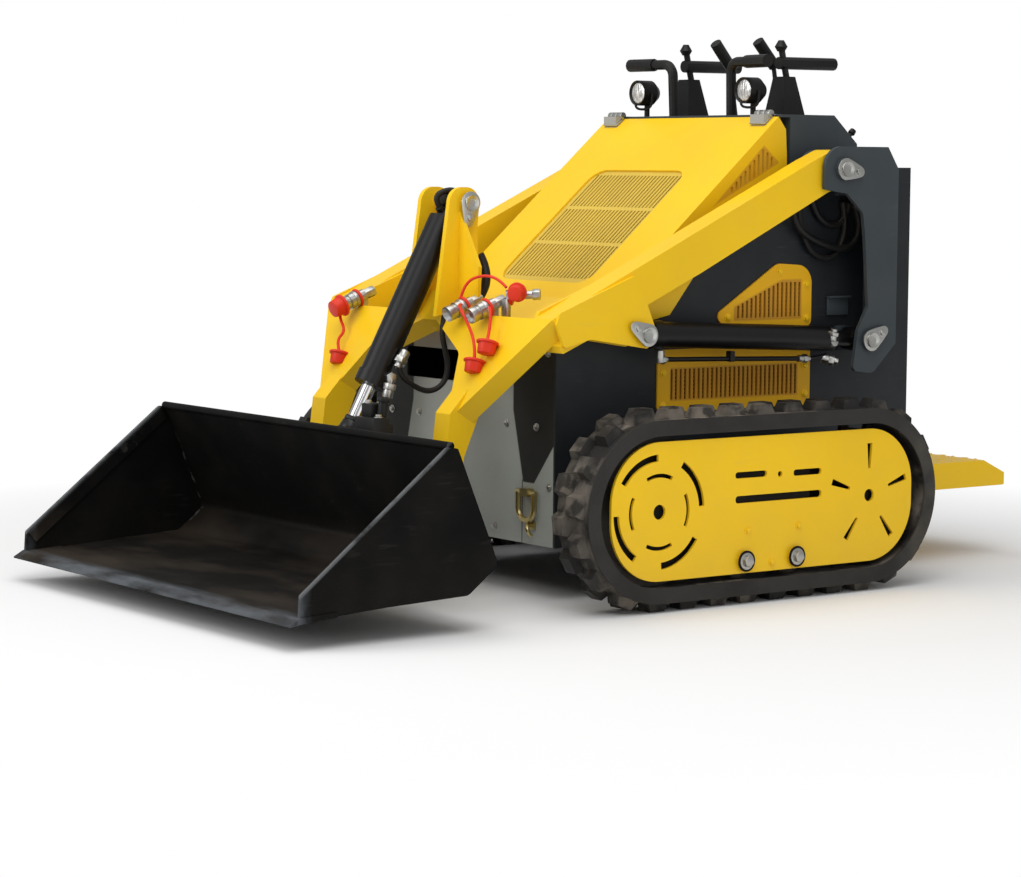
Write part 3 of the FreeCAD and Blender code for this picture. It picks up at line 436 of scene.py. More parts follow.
def build_hood_paint(yellow, field_colour):
    """Hood paint, darker on the louvred triangles in its sides."""
    material = weathered("hood yellow", yellow, (0.38, 0.7), 0.05, 0.04, 0.25, 0.04, coat=0.06)
    tree = material.node_tree
    x, y, z = position(tree)
    half = absolute(tree, y)
    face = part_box("hood_shell")[1].y
    mask = remap(tree, half, face - 0.003, face - 0.001)
    # foot, rear and front edges of the triangle, each a line in the side view
    for slope, level, inward in ((-0.51, 0.7135, 1), (0.84, 1.1605, -1), (-0.94, 0.6480, -1)):
        over = gap(tree, z, math_node(tree, "ADD", product(tree, x, slope), level))
        mask = product(tree, mask, remap(tree, over, -0.002 * inward, 0.002 * inward))
    recolour(material, product(tree, mask, 0.75), field_colour)
    # the zinc hinge blocks
    hinge = PIVOTS["hood_open"]
    along = remap(tree, absolute(tree, gap(tree, half, HINGE_MIDDLE)), 0.0235, 0.0225)
    block = soft_box(tree, x, z, (hinge.x - 0.012, hinge.x + 0.024), (hinge.z - 0.028, hinge.z + 0.016))
    return recolour(material, product(tree, along, block), (0.36, 0.37, 0.36))


def build_lamp_glass():
    """A bright ribbed lens over its reflector."""
    material, tree, shader = new_material("lamp lens")
    preset(shader, {"Metallic": 0.6, "Coat Weight": 1.0})
    ribs = remap(tree, noise(tree, 260.0, 1.0, (1.0, 1.0, 0.15)), 0.35, 0.65)
    tint = blend_colours(tree, ribs, (0.35, 0.35, 0.35, 1), (0.95, 0.95, 0.93, 1))
    tree.links.new(tint, shader.inputs["Base Color"])
    tree.links.new(remap(tree, ribs, 0.0, 1.0, 0.08, 0.25), shader.inputs["Roughness"])
    emboss(tree, ribs, 0.6, 0.001)
    return material


FINISHES = {}
NODE_FINISHES = {
    "hood_mesh": "hood_mesh",
    "hood_shell": "hood_paint",
    "side_grilles": "vent_cover",
    "engine_block": "painted_shade_and_black",
    "tie_rings": "brass",
    # the track frames take the near-black painted shade
    "track_frame_left": "painted_shade_and_black",
    "track_frame_right": "painted_shade_and_black",
}


class LOADER_OT_finishes(bpy.types.Operator):
    """Gives every sheet, casting and belt of the machine its finish"""

    bl_idname = "loader.finishes"
    bl_label = "Finishes"

    def execute(self, context):
        FINISHES.update(build_finishes())
        for entry in frame["record"]["subparts"]:
            node = NODES[entry["node"]]
            node.data.materials.clear()
            node.data.materials.append(FINISHES[NODE_FINISHES.get(entry["node"], entry["material_slot"])])
        return {"FINISHED"}


# modelling helpers


def deselect():
    bpy.ops.object.select_all(action="DESELECT")


def focus(piece):
    deselect()
    piece.select_set(True)
    bpy.context.view_layer.objects.active = piece


def point(x, y, z):
    """A place given in millimetres."""
    return Vector((x, y, z)) * MM


def route(*places, start=Vector()):
    """Places given in millimetres from a start."""
    return [start + point(*place) for place in places]


def aim(direction):
    """The turn that points a new primitive's Z along a direction."""
    return direction.to_track_quat("Z", "Y").to_euler()


def settle(piece, name):
    """Names a new primitive and puts its place into its mesh."""
    piece.name = name
    focus(piece)
    bpy.ops.object.transform_apply(location=True, rotation=True, scale=True)
    return piece


def bar(name, start, end, radius, sides, end_radius=None, fill="NGON"):
    """A round bar or cone between two points, with closed ends or open ones."""
    run = end - start
    deselect()
    bpy.ops.mesh.primitive_cone_add(
        vertices=sides,
        radius1=radius,
        radius2=radius if end_radius is None else end_radius,
        depth=run.length,
        end_fill_type=fill,
        location=(start + end) / 2,
        rotation=aim(run),
    )
    return settle(bpy.context.object, name)


def plate(name, low, high):
    """A flat-sided block between two corners."""
    deselect()
    bpy.ops.mesh.primitive_cube_add(size=1, location=(low + high) / 2, scale=high - low)
    return settle(bpy.context.object, name)


def hoop(place, axis, radius, thickness):
    """A smooth rubber ring round an axis."""
    deselect()
    bpy.ops.mesh.primitive_torus_add(
        major_radius=radius, minor_radius=thickness, major_segments=28, minor_segments=10,
        location=place, rotation=aim(axis),
    )
    ring = settle(bpy.context.object, "ring")
    bpy.ops.object.shade_smooth()
    return ring


def flat_piece(name, outline, y, depth):
    """A flat piece cut to an outline of X, Z corners, from y to y + depth, all in millimetres."""
    deselect()
    bpy.ops.mesh.primitive_circle_add(vertices=len(outline), radius=0.1, fill_type="NGON")
    piece = bpy.context.object
    for vertex, (x, z) in zip(piece.data.vertices, outline):
        vertex.co = point(x, y, z)
    piece.name = name
    focus(piece)
    bpy.ops.object.mode_set(mode="EDIT")
    bpy.ops.mesh.select_all(action="SELECT")
    bpy.ops.mesh.extrude_region_move(TRANSFORM_OT_translate={"value": (0, depth * MM, 0)})
    bpy.ops.mesh.select_all(action="SELECT")
    bpy.ops.mesh.normals_make_consistent(inside=False)
    bpy.ops.object.mode_set(mode="OBJECT")
    return piece


def soften(piece, width):
    """Rounds the piece's sharp edges and shades it smooth between them."""
    focus(piece)
    edge = piece.modifiers.new("edges", "BEVEL")
    edge.width = width
    edge.segments = 2
    edge.limit_method = "ANGLE"
    bpy.ops.object.modifier_apply(modifier=edge.name)
    bpy.ops.object.shade_smooth_by_angle(angle=SMOOTH_ANGLE)
    return piece


def turned(name, start, end, radius, sides, edge, end_radius=None):
    """A bar or cone with rounded edges."""
    return soften(bar(name, start, end, radius, sides, end_radius), edge)


def block(name, low, high, edge):
    """A flat-sided block with rounded edges."""
    return soften(plate(name, low, high), edge)


def dish(piece, normal, rim, depth):
    """Sinks the face that looks along normal, inside a rim."""
    focus(piece)
    bpy.ops.object.mode_set(mode="EDIT")
    bpy.ops.mesh.select_mode(type="FACE")
    bpy.ops.mesh.select_all(action="DESELECT")
    bpy.ops.object.mode_set(mode="OBJECT")
    for face in piece.data.polygons:
        face.select = len(face.vertices) > 4 and face.normal.dot(normal) > 0.9
    bpy.ops.object.mode_set(mode="EDIT")
    bpy.ops.mesh.inset(thickness=rim, depth=-depth)
    bpy.ops.object.mode_set(mode="OBJECT")
    return piece


def carried(piece, turn):
    """Moves a piece's mesh by a matrix."""
    piece.data.transform(turn)
    return piece


def copy_of(piece, name, turn):
    """A copy with its own mesh, carried by a matrix."""
    twin = piece.copy()
    twin.data = piece.data.copy()
    twin.name = name
    bpy.context.collection.objects.link(twin)
    return carried(twin, turn)


def standing(place, normal, towards=None):
    """Matrix that stands a piece made at the origin, facing +Z, on a surface; its +X points towards a direction."""
    up = Vector(normal).normalized()
    ahead = Vector(towards) if towards else up.orthogonal()
    ahead = (ahead - up * ahead.dot(up)).normalized()
    turn = Matrix((ahead, up.cross(ahead), up)).transposed().to_4x4()
    return Matrix.Translation(place) @ turn


def joined(name, pieces):
    """One piece from several."""
    deselect()
    for each in pieces:
        each.select_set(True)
    bpy.context.view_layer.objects.active = pieces[0]
    if len(pieces) > 1:
        bpy.ops.object.join()
    piece = bpy.context.view_layer.objects.active
    piece.name = name
    return piece


def dressed(piece, body, slot_name, finish=None):
    """Gives a piece its finish, its slot and the body that carries it."""
    piece.data.materials.clear()
    piece.data.materials.append(FINISHES[finish or slot_name])
    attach(piece, body)
    return piece


def fitted(name, pieces, body, slot_name, finish=None):
    """Joins pieces into one and dresses it."""
    return dressed(joined(name, pieces), body, slot_name, finish)


def tube(name, points, radius, body=None, slot_name="hose_rubber"):
    """A hose or bent pipe along one smooth line through its route's corners, dressed when a body carries it."""
    curve = bpy.data.curves.new(name, "CURVE")
    curve.dimensions = "3D"
    curve.bevel_depth = radius
    curve.bevel_resolution = 3
    curve.resolution_u = 10
    curve.use_fill_caps = True
    line = curve.splines.new("NURBS")
    line.points.add(len(points) - 1)
    for knot, place in zip(line.points, points):
        knot.co = (*place, 1)
    line.order_u = 3
    line.use_endpoint_u = True
    piece = bpy.data.objects.new(name, curve)
    bpy.context.collection.objects.link(piece)
    focus(piece)
    bpy.ops.object.convert(target="MESH")
    piece = bpy.context.view_layer.objects.active
    bpy.ops.object.shade_smooth_by_angle(angle=math.radians(50))
    return dressed(piece, body, slot_name) if body else piece


# hardware


def hex_bolt(radius):
    """A washer, a six-sided head and its rounded crown, facing +Z at the origin."""
    washer = turned("washer", UP * 0, UP * (radius * 0.22), radius * 1.35, 20, radius * 0.06)
    head = turned("head", UP * (radius * 0.2), UP * (radius * 0.9), radius, 6, radius * 0.12, radius * 0.96)
    return joined("bolt", [washer, head])


def flag_pin(pin_radius):
    """A pin's dished head, the egg-shaped flag that locks it and the flag's bolt, facing +Z and reaching along +X."""
    reach = pin_radius * 2.7
    flag = bar("flag", UP * 0, UP * 0.005, pin_radius * 1.45, 28)
    for vertex in flag.data.vertices:
        if vertex.co.x > 0:
            vertex.co.x += reach * 0.62 * min(1, vertex.co.x / pin_radius)
            vertex.co.y *= 1 - 0.38 * min(1, vertex.co.x / reach)
    soften(flag, 0.0008)
    head = bar("head", UP * 0.004, UP * 0.011, pin_radius, 28)
    soften(dish(head, UP, pin_radius * 0.42, 0.004), 0.0008)
    screw = carried(hex_bolt(pin_radius * 0.42), Matrix.Translation((reach * 0.72, 0, 0.004)))
    return joined("flag pin", [flag, head, screw])


class LOADER_OT_pins(bpy.types.Operator):
    """Sets the hinge pins' heads and their locking flags"""

    bl_idname = "loader.pins"
    bl_label = "Pins and flags"

    def execute(self, context):
        pattern = flag_pin(sizes().pin_radius)
        tower_face, arm_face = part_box("tower_left")[1].y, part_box("arm_left")[1].y
        # each pin: its axis, its distance from the middle and the way its flag points
        groups = (
            ("tower_pins_", "machine", (
                (PIVOTS["lift_arms"], tower_face, (-1, 0, -0.15)),
                (PIVOTS["lift_barrel_swing_left"], tower_face, (-1, 0, 0.55)),
            )),
            ("arm_pins_", "lift_arms", (
                (LIFT_EYE, arm_face, (1, 0, 0.5)),
                (PIVOTS["tilt_barrel_swing"], BRACKET_FACE, (0.12, 0, -1)),
            )),
            ("carrier_pin_", "bucket", ((PIVOTS["bucket_tilt"], CARRIER_FACE, (0.6, 0, 1)),)),
        )
        for side, sign in SIDES.items():
            for name, body, places in groups:
                pins = [
                    copy_of(pattern, "pin", standing(Vector((axis.x, sign * face, axis.z)), SIDEWAYS * sign, flag))
                    for axis, face, flag in places
                ]
                fitted(name + side, pins, body, "zinc_steel")
        bpy.data.objects.remove(pattern)
        return {"FINISHED"}


class LOADER_OT_bolts(bpy.types.Operator):
    """Bolts the track rollers, cover plates, vents and front panel"""

    bl_idname = "loader.bolts"
    bl_label = "Bolts"

    def execute(self, context):
        big, small = hex_bolt(ROLLER_BOLT), hex_bolt(COVER_BOLT)
        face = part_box("track_plate_left")[1].y
        cover = face - 0.007
        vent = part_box("side_grilles")[1].y
        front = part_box("front_panel")[1].x
        covers = ((-0.046, cover, 0.148), (-0.181, cover, 0.149), (-0.110, cover, 0.079), (-0.380, vent, 0.395),
                  (-0.380, vent, 0.455), (0.004, vent, 0.385), (0.004, vent, 0.452), (-0.382, vent, 0.556),
                  (-0.380, vent, 0.628), (-0.305, vent, 0.655), (-0.165, vent, 0.562))
        panel = ((0.263, 0.349), (0.306, 0.231), (0.300, 0.500), (0.120, 0.135), (0.159, 0.350))
        for side, sign in SIDES.items():
            out = SIDEWAYS * sign
            axles = [Vector((x, sign * face, 0.087)) for x in (-0.038, -0.172)]
            bolts = [copy_of(big, "bolt", standing(axle, out)) for axle in axles]
            fitted("roller_bolts_" + side, bolts, "machine", "zinc_steel")
            rings = []
            for axle in axles:
                ring = bar("ring", axle - out * 0.0005, axle + out * 0.0022, 0.0215, 32)
                rings.append(soften(dish(ring, out, 0.003, 0.0015), 0.0004))
            fitted("roller_seals_" + side, rings, "machine", "dark_paint", "painted_shade_and_black")
            bolts = [copy_of(small, "bolt", standing(Vector((x, sign * y, z)), out)) for x, y, z in covers]
            fitted("cover_bolts_" + side, bolts, "machine", "yellow_paint")
            bolts = [copy_of(small, "bolt", standing(Vector((front, sign * y, z)), AHEAD)) for y, z in panel]
            fitted("panel_bolts_" + side, bolts, "machine", "zinc_steel")
        for pattern in (big, small):
            bpy.data.objects.remove(pattern)
        return {"FINISHED"}


class LOADER_OT_hydraulics(bpy.types.Operator):
    """Runs the hard pipes, hoses and fittings of the cylinders"""

    bl_idname = "loader.hydraulics"
    bl_label = "Hydraulic lines"

    def execute(self, context):
        swing = PIVOTS["lift_barrel_swing_left"]
        for side, sign in SIDES.items():
            lift_lines(side, sign)
            foot, eye = (Vector((end.x, sign * LIFT_LINE * MM, end.z)) for end in (swing, LIFT_EYE))
            barrel_jacket("lift_jacket_" + side, foot, eye, 0.0261, (71, 534, 559), "lift_barrel_" + side)
            tower_hoses(side, sign)
        barrel_jacket("tilt_jacket", PIVOTS["tilt_barrel_swing"], TILT_EYE, 0.0301, (41, 395, 420), "tilt_barrel")
        tilt_lines()
        return {"FINISHED"}


def fitting(start, end, radius):
    """A swaged hose fitting: a collar, a six-sided nut and a slim neck."""
    run = end - start
    collar = turned("collar", start, start + run * 0.45, radius * 1.15, 20, radius * 0.12)
    nut = turned("nut", start + run * 0.42, start + run * 0.75, radius * 1.5, 6, radius * 0.12)
    neck = turned("neck", start + run * 0.7, end, radius * 0.85, 16, radius * 0.1)
    return joined("fitting", [collar, nut, neck])


def lift_lines(side, sign):
    """The lift cylinder's pipe from its rod-end port back to its foot, and the ports' fittings."""
    body = "lift_barrel_" + side

    def at(x, z, y=LIFT_LINE):
        return point(x, sign * y, z)

    pipe = [at(52, 511), at(52, 486), at(34, 484), at(-60, 482), at(-330, 474), at(-372, 473), at(-392, 480, 384)]
    tube("lift_pipe_" + side, pipe, sizes().pipe_radius, body, "cylinder_black")
    fitted("lift_fittings_" + side, [
        fitting(at(60, 484), at(34, 484), 0.0065),
        fitting(at(-318, 474.5), at(-350, 473.5), 0.0065),
        fitting(at(-385, 474), at(-412, 466, 398), 0.0085),
        fitting(at(-394, 512, 397), at(-396, 536, 403), 0.0085),
        turned("port", at(52, 503), at(52, 478), 0.010, 6, 0.001),
        turned("port", at(-398, 505, 385), at(-398, 509, 403), 0.010, 20, 0.001),
    ], body, "zinc_steel")
    half = 8 * sign
    clamp = block("clamp", at(-140, 474, LIFT_LINE - half), at(-128, 496, LIFT_LINE + half), 0.0015)
    fitted("lift_pipe_clamp_" + side, [clamp], body, "cylinder_black")


def sleeve(name, start, end, radius):
    """A thin round jacket over a barrel, open at both ends."""
    piece = bar(name, start, end, radius, 64, fill="NOTHING")
    wall = piece.modifiers.new("wall", "SOLIDIFY")
    wall.thickness = 0.0004
    wall.offset = 1
    bpy.ops.object.modifier_apply(modifier=wall.name)
    bpy.ops.object.shade_smooth_by_angle(angle=SMOOTH_ANGLE)
    return piece


def barrel_jacket(name, foot, eye, radius, reach, body):
    """A cylinder barrel's painted jacket and the gland at its end; reach gives three distances from the foot in mm."""
    axis = (eye - foot).normalized()
    start, gland, end = (foot + axis * (distance * MM) for distance in reach)
    parts = [sleeve("barrel", start, gland, radius), sleeve("gland", gland, end, radius + 3 * MM)]
    fitted(name, parts, body, "cylinder_black")


def tower_hoses(side, sign):
    """Hoses that hang in loops inside each tower, with a shelf bracket under them."""
    def at(x, z, y):
        return point(x, sign * y, z)

    outer = ((-322, 800), (-330, 765), (-350, 738), (-395, 716), (-455, 700), (-500, 708), (-518, 748), (-503, 792),
             (-487, 818))
    inner = ((-388, 812), (-398, 776), (-440, 748), (-480, 756), (-497, 795))
    for name, line, y in (("tower_hose_", outer, 345), ("tower_hose_inner_", inner, 333)):
        tube(name + side, [at(x, z, y) for x, z in line], sizes().hose_radius, "machine")
    fitted("hose_shelf_" + side, [
        block("top", at(-500, 597, 327), at(-438, 601, 341), 0.001),
        block("rib", at(-500, 560, 327), at(-440, 600, 331), 0.001),
    ], "machine", "console_grey")


def tilt_lines():
    """The tilt cylinder's hose, from its barrel up and back between the bracket's plates, and the hose below it."""
    line = route((28, 4, -14), (40, 4, 2), (38, 5, 16), (22, 9, 24), (2, 14, 26), (-20, 22, 16),
                 start=PIVOTS["tilt_barrel_swing"])
    tube("tilt_hose", line, 0.0062, "tilt_barrel")
    port = turned("port", line[0] - point(12, 0, 8), line[0] + point(6, 0, 5), 0.0095, 6, 0.001)
    fitted("tilt_port", [port], "tilt_barrel", "grip_plastic")
    loop = route((462, 40, 470), (459, 42, 448), (443, 48, 432), (421, 52, 419), (399, 56, 412), (377, 60, 418),
                 (359, 62, 436), (354, 62, 466), (360, 60, 495), (366, 58, 522), (364, 55, 548), (352, 50, 580))
    tube("tilt_hose_loop", loop, 0.0058, "tilt_barrel")
    fitted("tilt_fittings", [
        fitting(point(442, 36, 494), point(465, 39, 462), 0.0100),
        fitting(point(486, 36, 402), point(478, 38, 440), 0.0095),
        turned("boss", point(476, 22, 440), point(480, 44, 442), 0.0120, 6, 0.001),
    ], "tilt_barrel", "zinc_steel")
    tail = route((270, 52, 690), (264, 60, 672), (268, 76, 640), (276, 74, 612), (296, 70, 585))
    tube("bracket_hose", tail, 0.0095, "lift_arms")


class LOADER_OT_couplers(bpy.types.Operator):
    """Adds the auxiliary couplers' sleeves, red dust caps and straps"""

    bl_idname = "loader.couplers"
    bl_label = "Couplers and caps"

    def execute(self, context):
        sleeves = [coupler_sleeve(point(384, y, 576), COUPLER_AXIS) for y in COUPLERS]
        fitted("coupler_sleeves", sleeves, "lift_arms", "zinc_steel")
        middle, outer, right = COUPLERS
        drooping = (
            (outer, ((372, 236, 592), (384, 252, 560), (392, 258, 540)), (404, 270, 516)),
            (middle, ((386, 140, 596), (400, 196, 560), (406, 232, 520)), (418, 246, 478)),
            (right, ((378, -300, 592), (392, -296, 550), (396, -262, 520), (416, -268, 500)), (418, -252, 466)),
        )
        for number, (y, strap, cap) in enumerate(drooping):
            parts = dust_cap(point(352, y, 588), route(*strap), point(*cap))
            fitted("dust_cap_" + str(number), parts, "lift_arms", "rubber_track", "cap_red")
        plug = cap_cup(point(388, right, 574.5), COUPLER_AXIS, 0.0205)
        fitted("dust_cap_fitted", [plug], "lift_arms", "rubber_track", "cap_red")
        spare = cap_cup(point(312, 245, 621), Vector((0.8, 0.55, -0.15)), 0.0170)
        fitted("dust_cap_spare", [spare], "lift_arms", "rubber_track", "cap_red")
        return_coupler()
        return {"FINISHED"}


def return_coupler():
    """The case-drain coupler: a fitting that points back over the arms' front box, with its cap's strap."""
    nose, tail = route((318, 214, 612), (268, 262, 616))
    axis = (tail - nose).normalized()
    fitted("return_coupler", [
        turned("body", nose, nose + axis * 0.030, 0.0125, 6, 0.001),
        turned("neck", nose + axis * 0.028, tail, 0.0085, 20, 0.0008),
        turned("nut", tail - axis * 0.016, tail, 0.0115, 6, 0.001),
        block("stand", point(316, 208, 556), point(326, 228, 606), 0.0012),
    ], "lift_arms", "zinc_steel")
    ring = hoop(nose + axis * 0.010, axis, 0.0165, 0.0036)
    line = route((322, 190, 648), (336, 150, 652), (352, 118, 636), (358, 112, 606))
    strap = tube("strap", [nose + UP * 0.017] + line, 0.0030)
    fitted("return_strap", [ring, strap], "lift_arms", "rubber_track", "cap_red")


def coupler_sleeve(nose, axis):
    """A coupler's knurled sliding sleeve, its locking band and hose nut."""
    grip = bar("grip", nose - axis * 0.004, nose + axis * 0.012, 0.0160, 28)
    soften(dish(grip, axis, 0.004, 0.009), 0.0008)
    band = turned("band", nose - axis * 0.030, nose - axis * 0.022, 0.0185, 28, 0.0012)
    back = turned("back", nose - axis * 0.078, nose - axis * 0.052, 0.012, 6, 0.001)
    return joined("sleeve", [grip, band, back])


def cap_cup(place, towards, radius):
    """A moulded cup with a grip rim, opening backward."""
    towards = towards.normalized()
    cup = bar("cup", place, place + towards * radius * 1.35, radius, 24, radius * 0.88)
    soften(dish(cup, -towards, radius * 0.18, radius * 0.9), radius * 0.08)
    rim = turned("rim", place, place + towards * radius * 0.3, radius * 1.18, 24, radius * 0.08)
    soften(dish(rim, -towards, radius * 0.34, radius * 0.25), radius * 0.05)
    return joined("cap", [cup, rim])


def dust_cap(ring_place, strap, cap_place):
    """The parts of a cap that hangs by its strap from the ring round a coupler."""
    ring = hoop(ring_place, COUPLER_AXIS, 0.0175, 0.0034)
    leave = ring_place + (strap[0] - ring_place).normalized() * 0.018
    line = tube("strap", [leave] + strap + [cap_place + UP * 0.012], 0.0032)
    return [ring, line, cap_cup(cap_place + point(-2, 0, 10), Vector((0.35, 0.15, -1)), 0.0195)]


class LOADER_OT_lamps(bpy.types.Operator):
    """Fits the work lamps' lenses, bezels and stirrups"""

    bl_idname = "loader.lamps"
    bl_label = "Lamps"

    def execute(self, context):
        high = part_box("work_lamps")[1]
        for side, sign in SIDES.items():
            middle = Vector((high.x, sign * (high.y - LAMP_RADIUS), high.z - LAMP_RADIUS))
            bezel = bar("bezel", middle - AHEAD * 0.004, middle + AHEAD * 0.004, LAMP_RADIUS, 40)
            soften(dish(bezel, AHEAD, 0.004, 0.006), 0.0008)
            bends = route((-16, -30, 0), (-16, -31, -24), (-14, -20, -36), (-14, 20, -36), (-16, 31, -24),
                          (-16, 30, 0), start=middle)
            stirrup = tube("stirrup", bends, 0.0028)
            fitted("lamp_bezel_" + side, [bezel, stirrup], "machine", "lamp_black")
            lens = lamp_lens(middle, LAMP_RADIUS - 0.004)
            fitted("lamp_lens_" + side, [lens], "machine", "lamp_black", "lamp_glass")
        return {"FINISHED"}


def lamp_lens(middle, radius):
    """A domed, ribbed lens in front of the reflector."""
    deselect()
    bpy.ops.mesh.primitive_uv_sphere_add(segments=32, ring_count=16, radius=radius, location=middle - AHEAD * 0.002,
                                         rotation=(0, math.pi / 2, 0), scale=(1, 1, 0.24))
    lens = settle(bpy.context.object, "lens")
    bpy.ops.object.shade_smooth()
    return lens


class LOADER_OT_body_fittings(bpy.types.Operator):
    """Adds the hood's hinges, rear latches, lashing hooks, console knob, platform tread and louvre liners"""

    bl_idname = "loader.body_fittings"
    bl_label = "Body fittings"

    def execute(self, context):
        for build in (hood_hinge, rear_latch, lashing_hook):
            for side, sign in SIDES.items():
                build(side, sign)
        console_knob()
        platform_tread()
        for side, sign in SIDES.items():
            louvre_liner(side, sign)
        return {"FINISHED"}


def hood_hinge(side, sign):
    """A hinge of the hood: three knuckles and a leaf on the machine, a bolted strap on the hood."""
    hinge = PIVOTS["hood_open"]
    place = Vector((hinge.x, sign * HINGE_MIDDLE, hinge.z))
    leaf = [
        turned("knuckle", place + point(0, low, 0), place + point(0, high, 0), 0.0078, 20, 0.0008)
        for low, high in ((-24, -9), (-7, 7), (9, 24))
    ]
    leaf.append(block("leaf", place + point(-34, -24, -4.5), place + point(-4, 24, -1.5), 0.0008))
    fitted("hinge_leaf_" + side, leaf, "machine", "zinc_steel")
    strap = plate("strap", place + point(4, -24, -5.5), place + point(30, 24, -2.5))
    slope = Matrix.Rotation(HOOD_SLOPE, 4, "Y")
    turn = Matrix.Translation(place) @ slope @ Matrix.Translation(-place)
    soften(carried(strap, turn), 0.0008)
    spots = [turn @ (place + point(20, y, -2.5)) for y in (-14, 14)]
    screws = [carried(hex_bolt(0.0042), standing(spot, slope @ UP)) for spot in spots]
    fitted("hinge_strap_" + side, [strap] + screws, "hood", "zinc_steel")


def console_knob():
    """A small knob on the console's sloping rear face."""
    base = point(-534, 286, 939)
    out = Vector((-0.667, 0, 0.745))
    stem = turned("stem", base - out * 0.002, base + out * 0.011, 0.0045, 16, 0.0005)
    head = turned("head", base + out * 0.009, base + out * 0.020, 0.0080, 24, 0.0018, 0.0068)
    fitted("console_knob", [stem, head], "machine", "grip_plastic")


def platform_tread():
    """Raised anti-slip studs on the platform, turned one way and the other by turns."""
    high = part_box("platform")[1]
    rows, columns = 8, 15
    stud = turned("stud", UP * -0.0005, UP * 0.0009, 0.0040, 12, 0.0003, 0.0030)
    carried(stud, Matrix.Scale(2.6, 4, AHEAD))
    studs = []
    for row in range(rows):
        for column in range(columns):
            place = Vector((high.x - TREAD_PITCH * (row + 1), TREAD_PITCH * (column - columns // 2), high.z))
            lean = math.radians(45 if (row + column) % 2 else -45)
            studs.append(copy_of(stud, "stud", Matrix.Translation(place) @ Matrix.Rotation(lean, 4, "Z")))
    bpy.data.objects.remove(stud)
    fitted("platform_tread", studs, "machine", "yellow_paint")


def louvre_liner(side, sign):
    """Screen plate behind the louvred triangle in the hood's side."""
    outline = ((-328, 883), (-160, 797), (-290, 916))
    liner = soften(flat_piece("louvre_liner_" + side, outline, sign * 287, sign * 2), 0.0004)
    dressed(liner, "hood", "frame_yellow", "hood_mesh")


def rear_latch(side, sign):
    """A turn latch on the rear edge of a side."""
    base = Vector((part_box("rear_panel")[0].x, sign * 0.285, 0.815))
    knob = turned("knob", base, base - AHEAD * 0.012, 0.012, 24, 0.0015)
    key = block("key", base + point(-20, -4, -11), base + point(-11, 4, 11), 0.0015)
    fitted("rear_latch_" + side, [knob, key], "machine", "grip_plastic")


def lashing_hook(side, sign):
    """The hook pin under a lashing ring, and the strap mount below it."""
    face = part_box("front_panel")[1].x

    def at(out, y, z):
        return Vector((face + out * MM, sign * y * MM, z * MM))

    bends = [at(2, 250, 150), at(12, 252, 152), at(20, 258, 148), at(20, 263, 136), at(12, 262, 130)]
    hook = tube("hook", bends, 0.0042)
    tab = block("tab", at(0, 232, 141), at(4, 262, 157), 0.001)
    fitted("lashing_hook_" + side, [hook, tab], "machine", "zinc_steel", "brass")


class LOADER_OT_screens(bpy.types.Operator):
    """Stretches fine mesh screens behind the hood's and the vents' slits"""

    bl_idname = "loader.screens"
    bl_label = "Mesh screens"

    def execute(self, context):
        low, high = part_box("hood_mesh")
        foot, head = Vector((high.x, 0, low.z)), Vector((low.x, 0, high.z))
        run = (head - foot).normalized()
        normal = SIDEWAYS.cross(run)
        if normal.z < 0:
            normal = -normal
        screen = mesh_sheet("hood_screen", high.y - low.y - 0.012, (head - foot).length - 0.012, 0.009)
        axes = Matrix((run.cross(normal), run, normal)).transposed().to_4x4()
        carried(screen, Matrix.Translation((head + foot) / 2 - normal * 0.0052) @ axes)
        dressed(screen, "hood", "frame_yellow", "hood_mesh")
        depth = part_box("side_panel_left")[1].y - 0.0022
        for side, sign in SIDES.items():
            stand = Matrix((AHEAD * -sign, UP, SIDEWAYS * sign)).transposed().to_4x4()
            sheets = []
            for (x0, z0), (x1, z1) in (((-0.360, 0.396), (-0.014, 0.462)), ((-0.368, 0.562), (-0.182, 0.630))):
                sheet = mesh_sheet("screen", x1 - x0, z1 - z0, 0.008)
                middle = Vector(((x0 + x1) / 2, sign * depth, (z0 + z1) / 2))
                sheets.append(carried(sheet, Matrix.Translation(middle) @ stand))
            fitted("vent_screen_" + side, sheets, "machine", "frame_yellow", "vent_screen")
        return {"FINISHED"}


def mesh_sheet(name, width, length, pitch):
    """A flat sheet pierced all over with square holes, lying in XY."""
    deselect()
    bpy.ops.mesh.primitive_grid_add(x_subdivisions=int(width / pitch), y_subdivisions=int(length / pitch), size=1)
    sheet = bpy.context.object
    sheet.scale = (width, length, 1)
    settle(sheet, name)
    bpy.ops.object.mode_set(mode="EDIT")
    bpy.ops.mesh.select_mode(type="FACE")
    bpy.ops.mesh.select_all(action="SELECT")
    bpy.ops.mesh.inset(thickness=pitch * 0.24, use_individual=True)
    bpy.ops.mesh.delete(type="FACE")
    bpy.ops.object.mode_set(mode="OBJECT")
    return sheet


class LOADER_OT_carrier(bpy.types.Operator):
    """Adds the tilt rod's clevis, the carrier's latch and the arms' inner gussets"""

    bl_idname = "loader.carrier"
    bl_label = "Clevis, latch and gussets"

    def execute(self, context):
        rod_clevis()
        carrier_latch()
        for side, sign in SIDES.items():
            inner_gusset(side, sign)
        return {"FINISHED"}


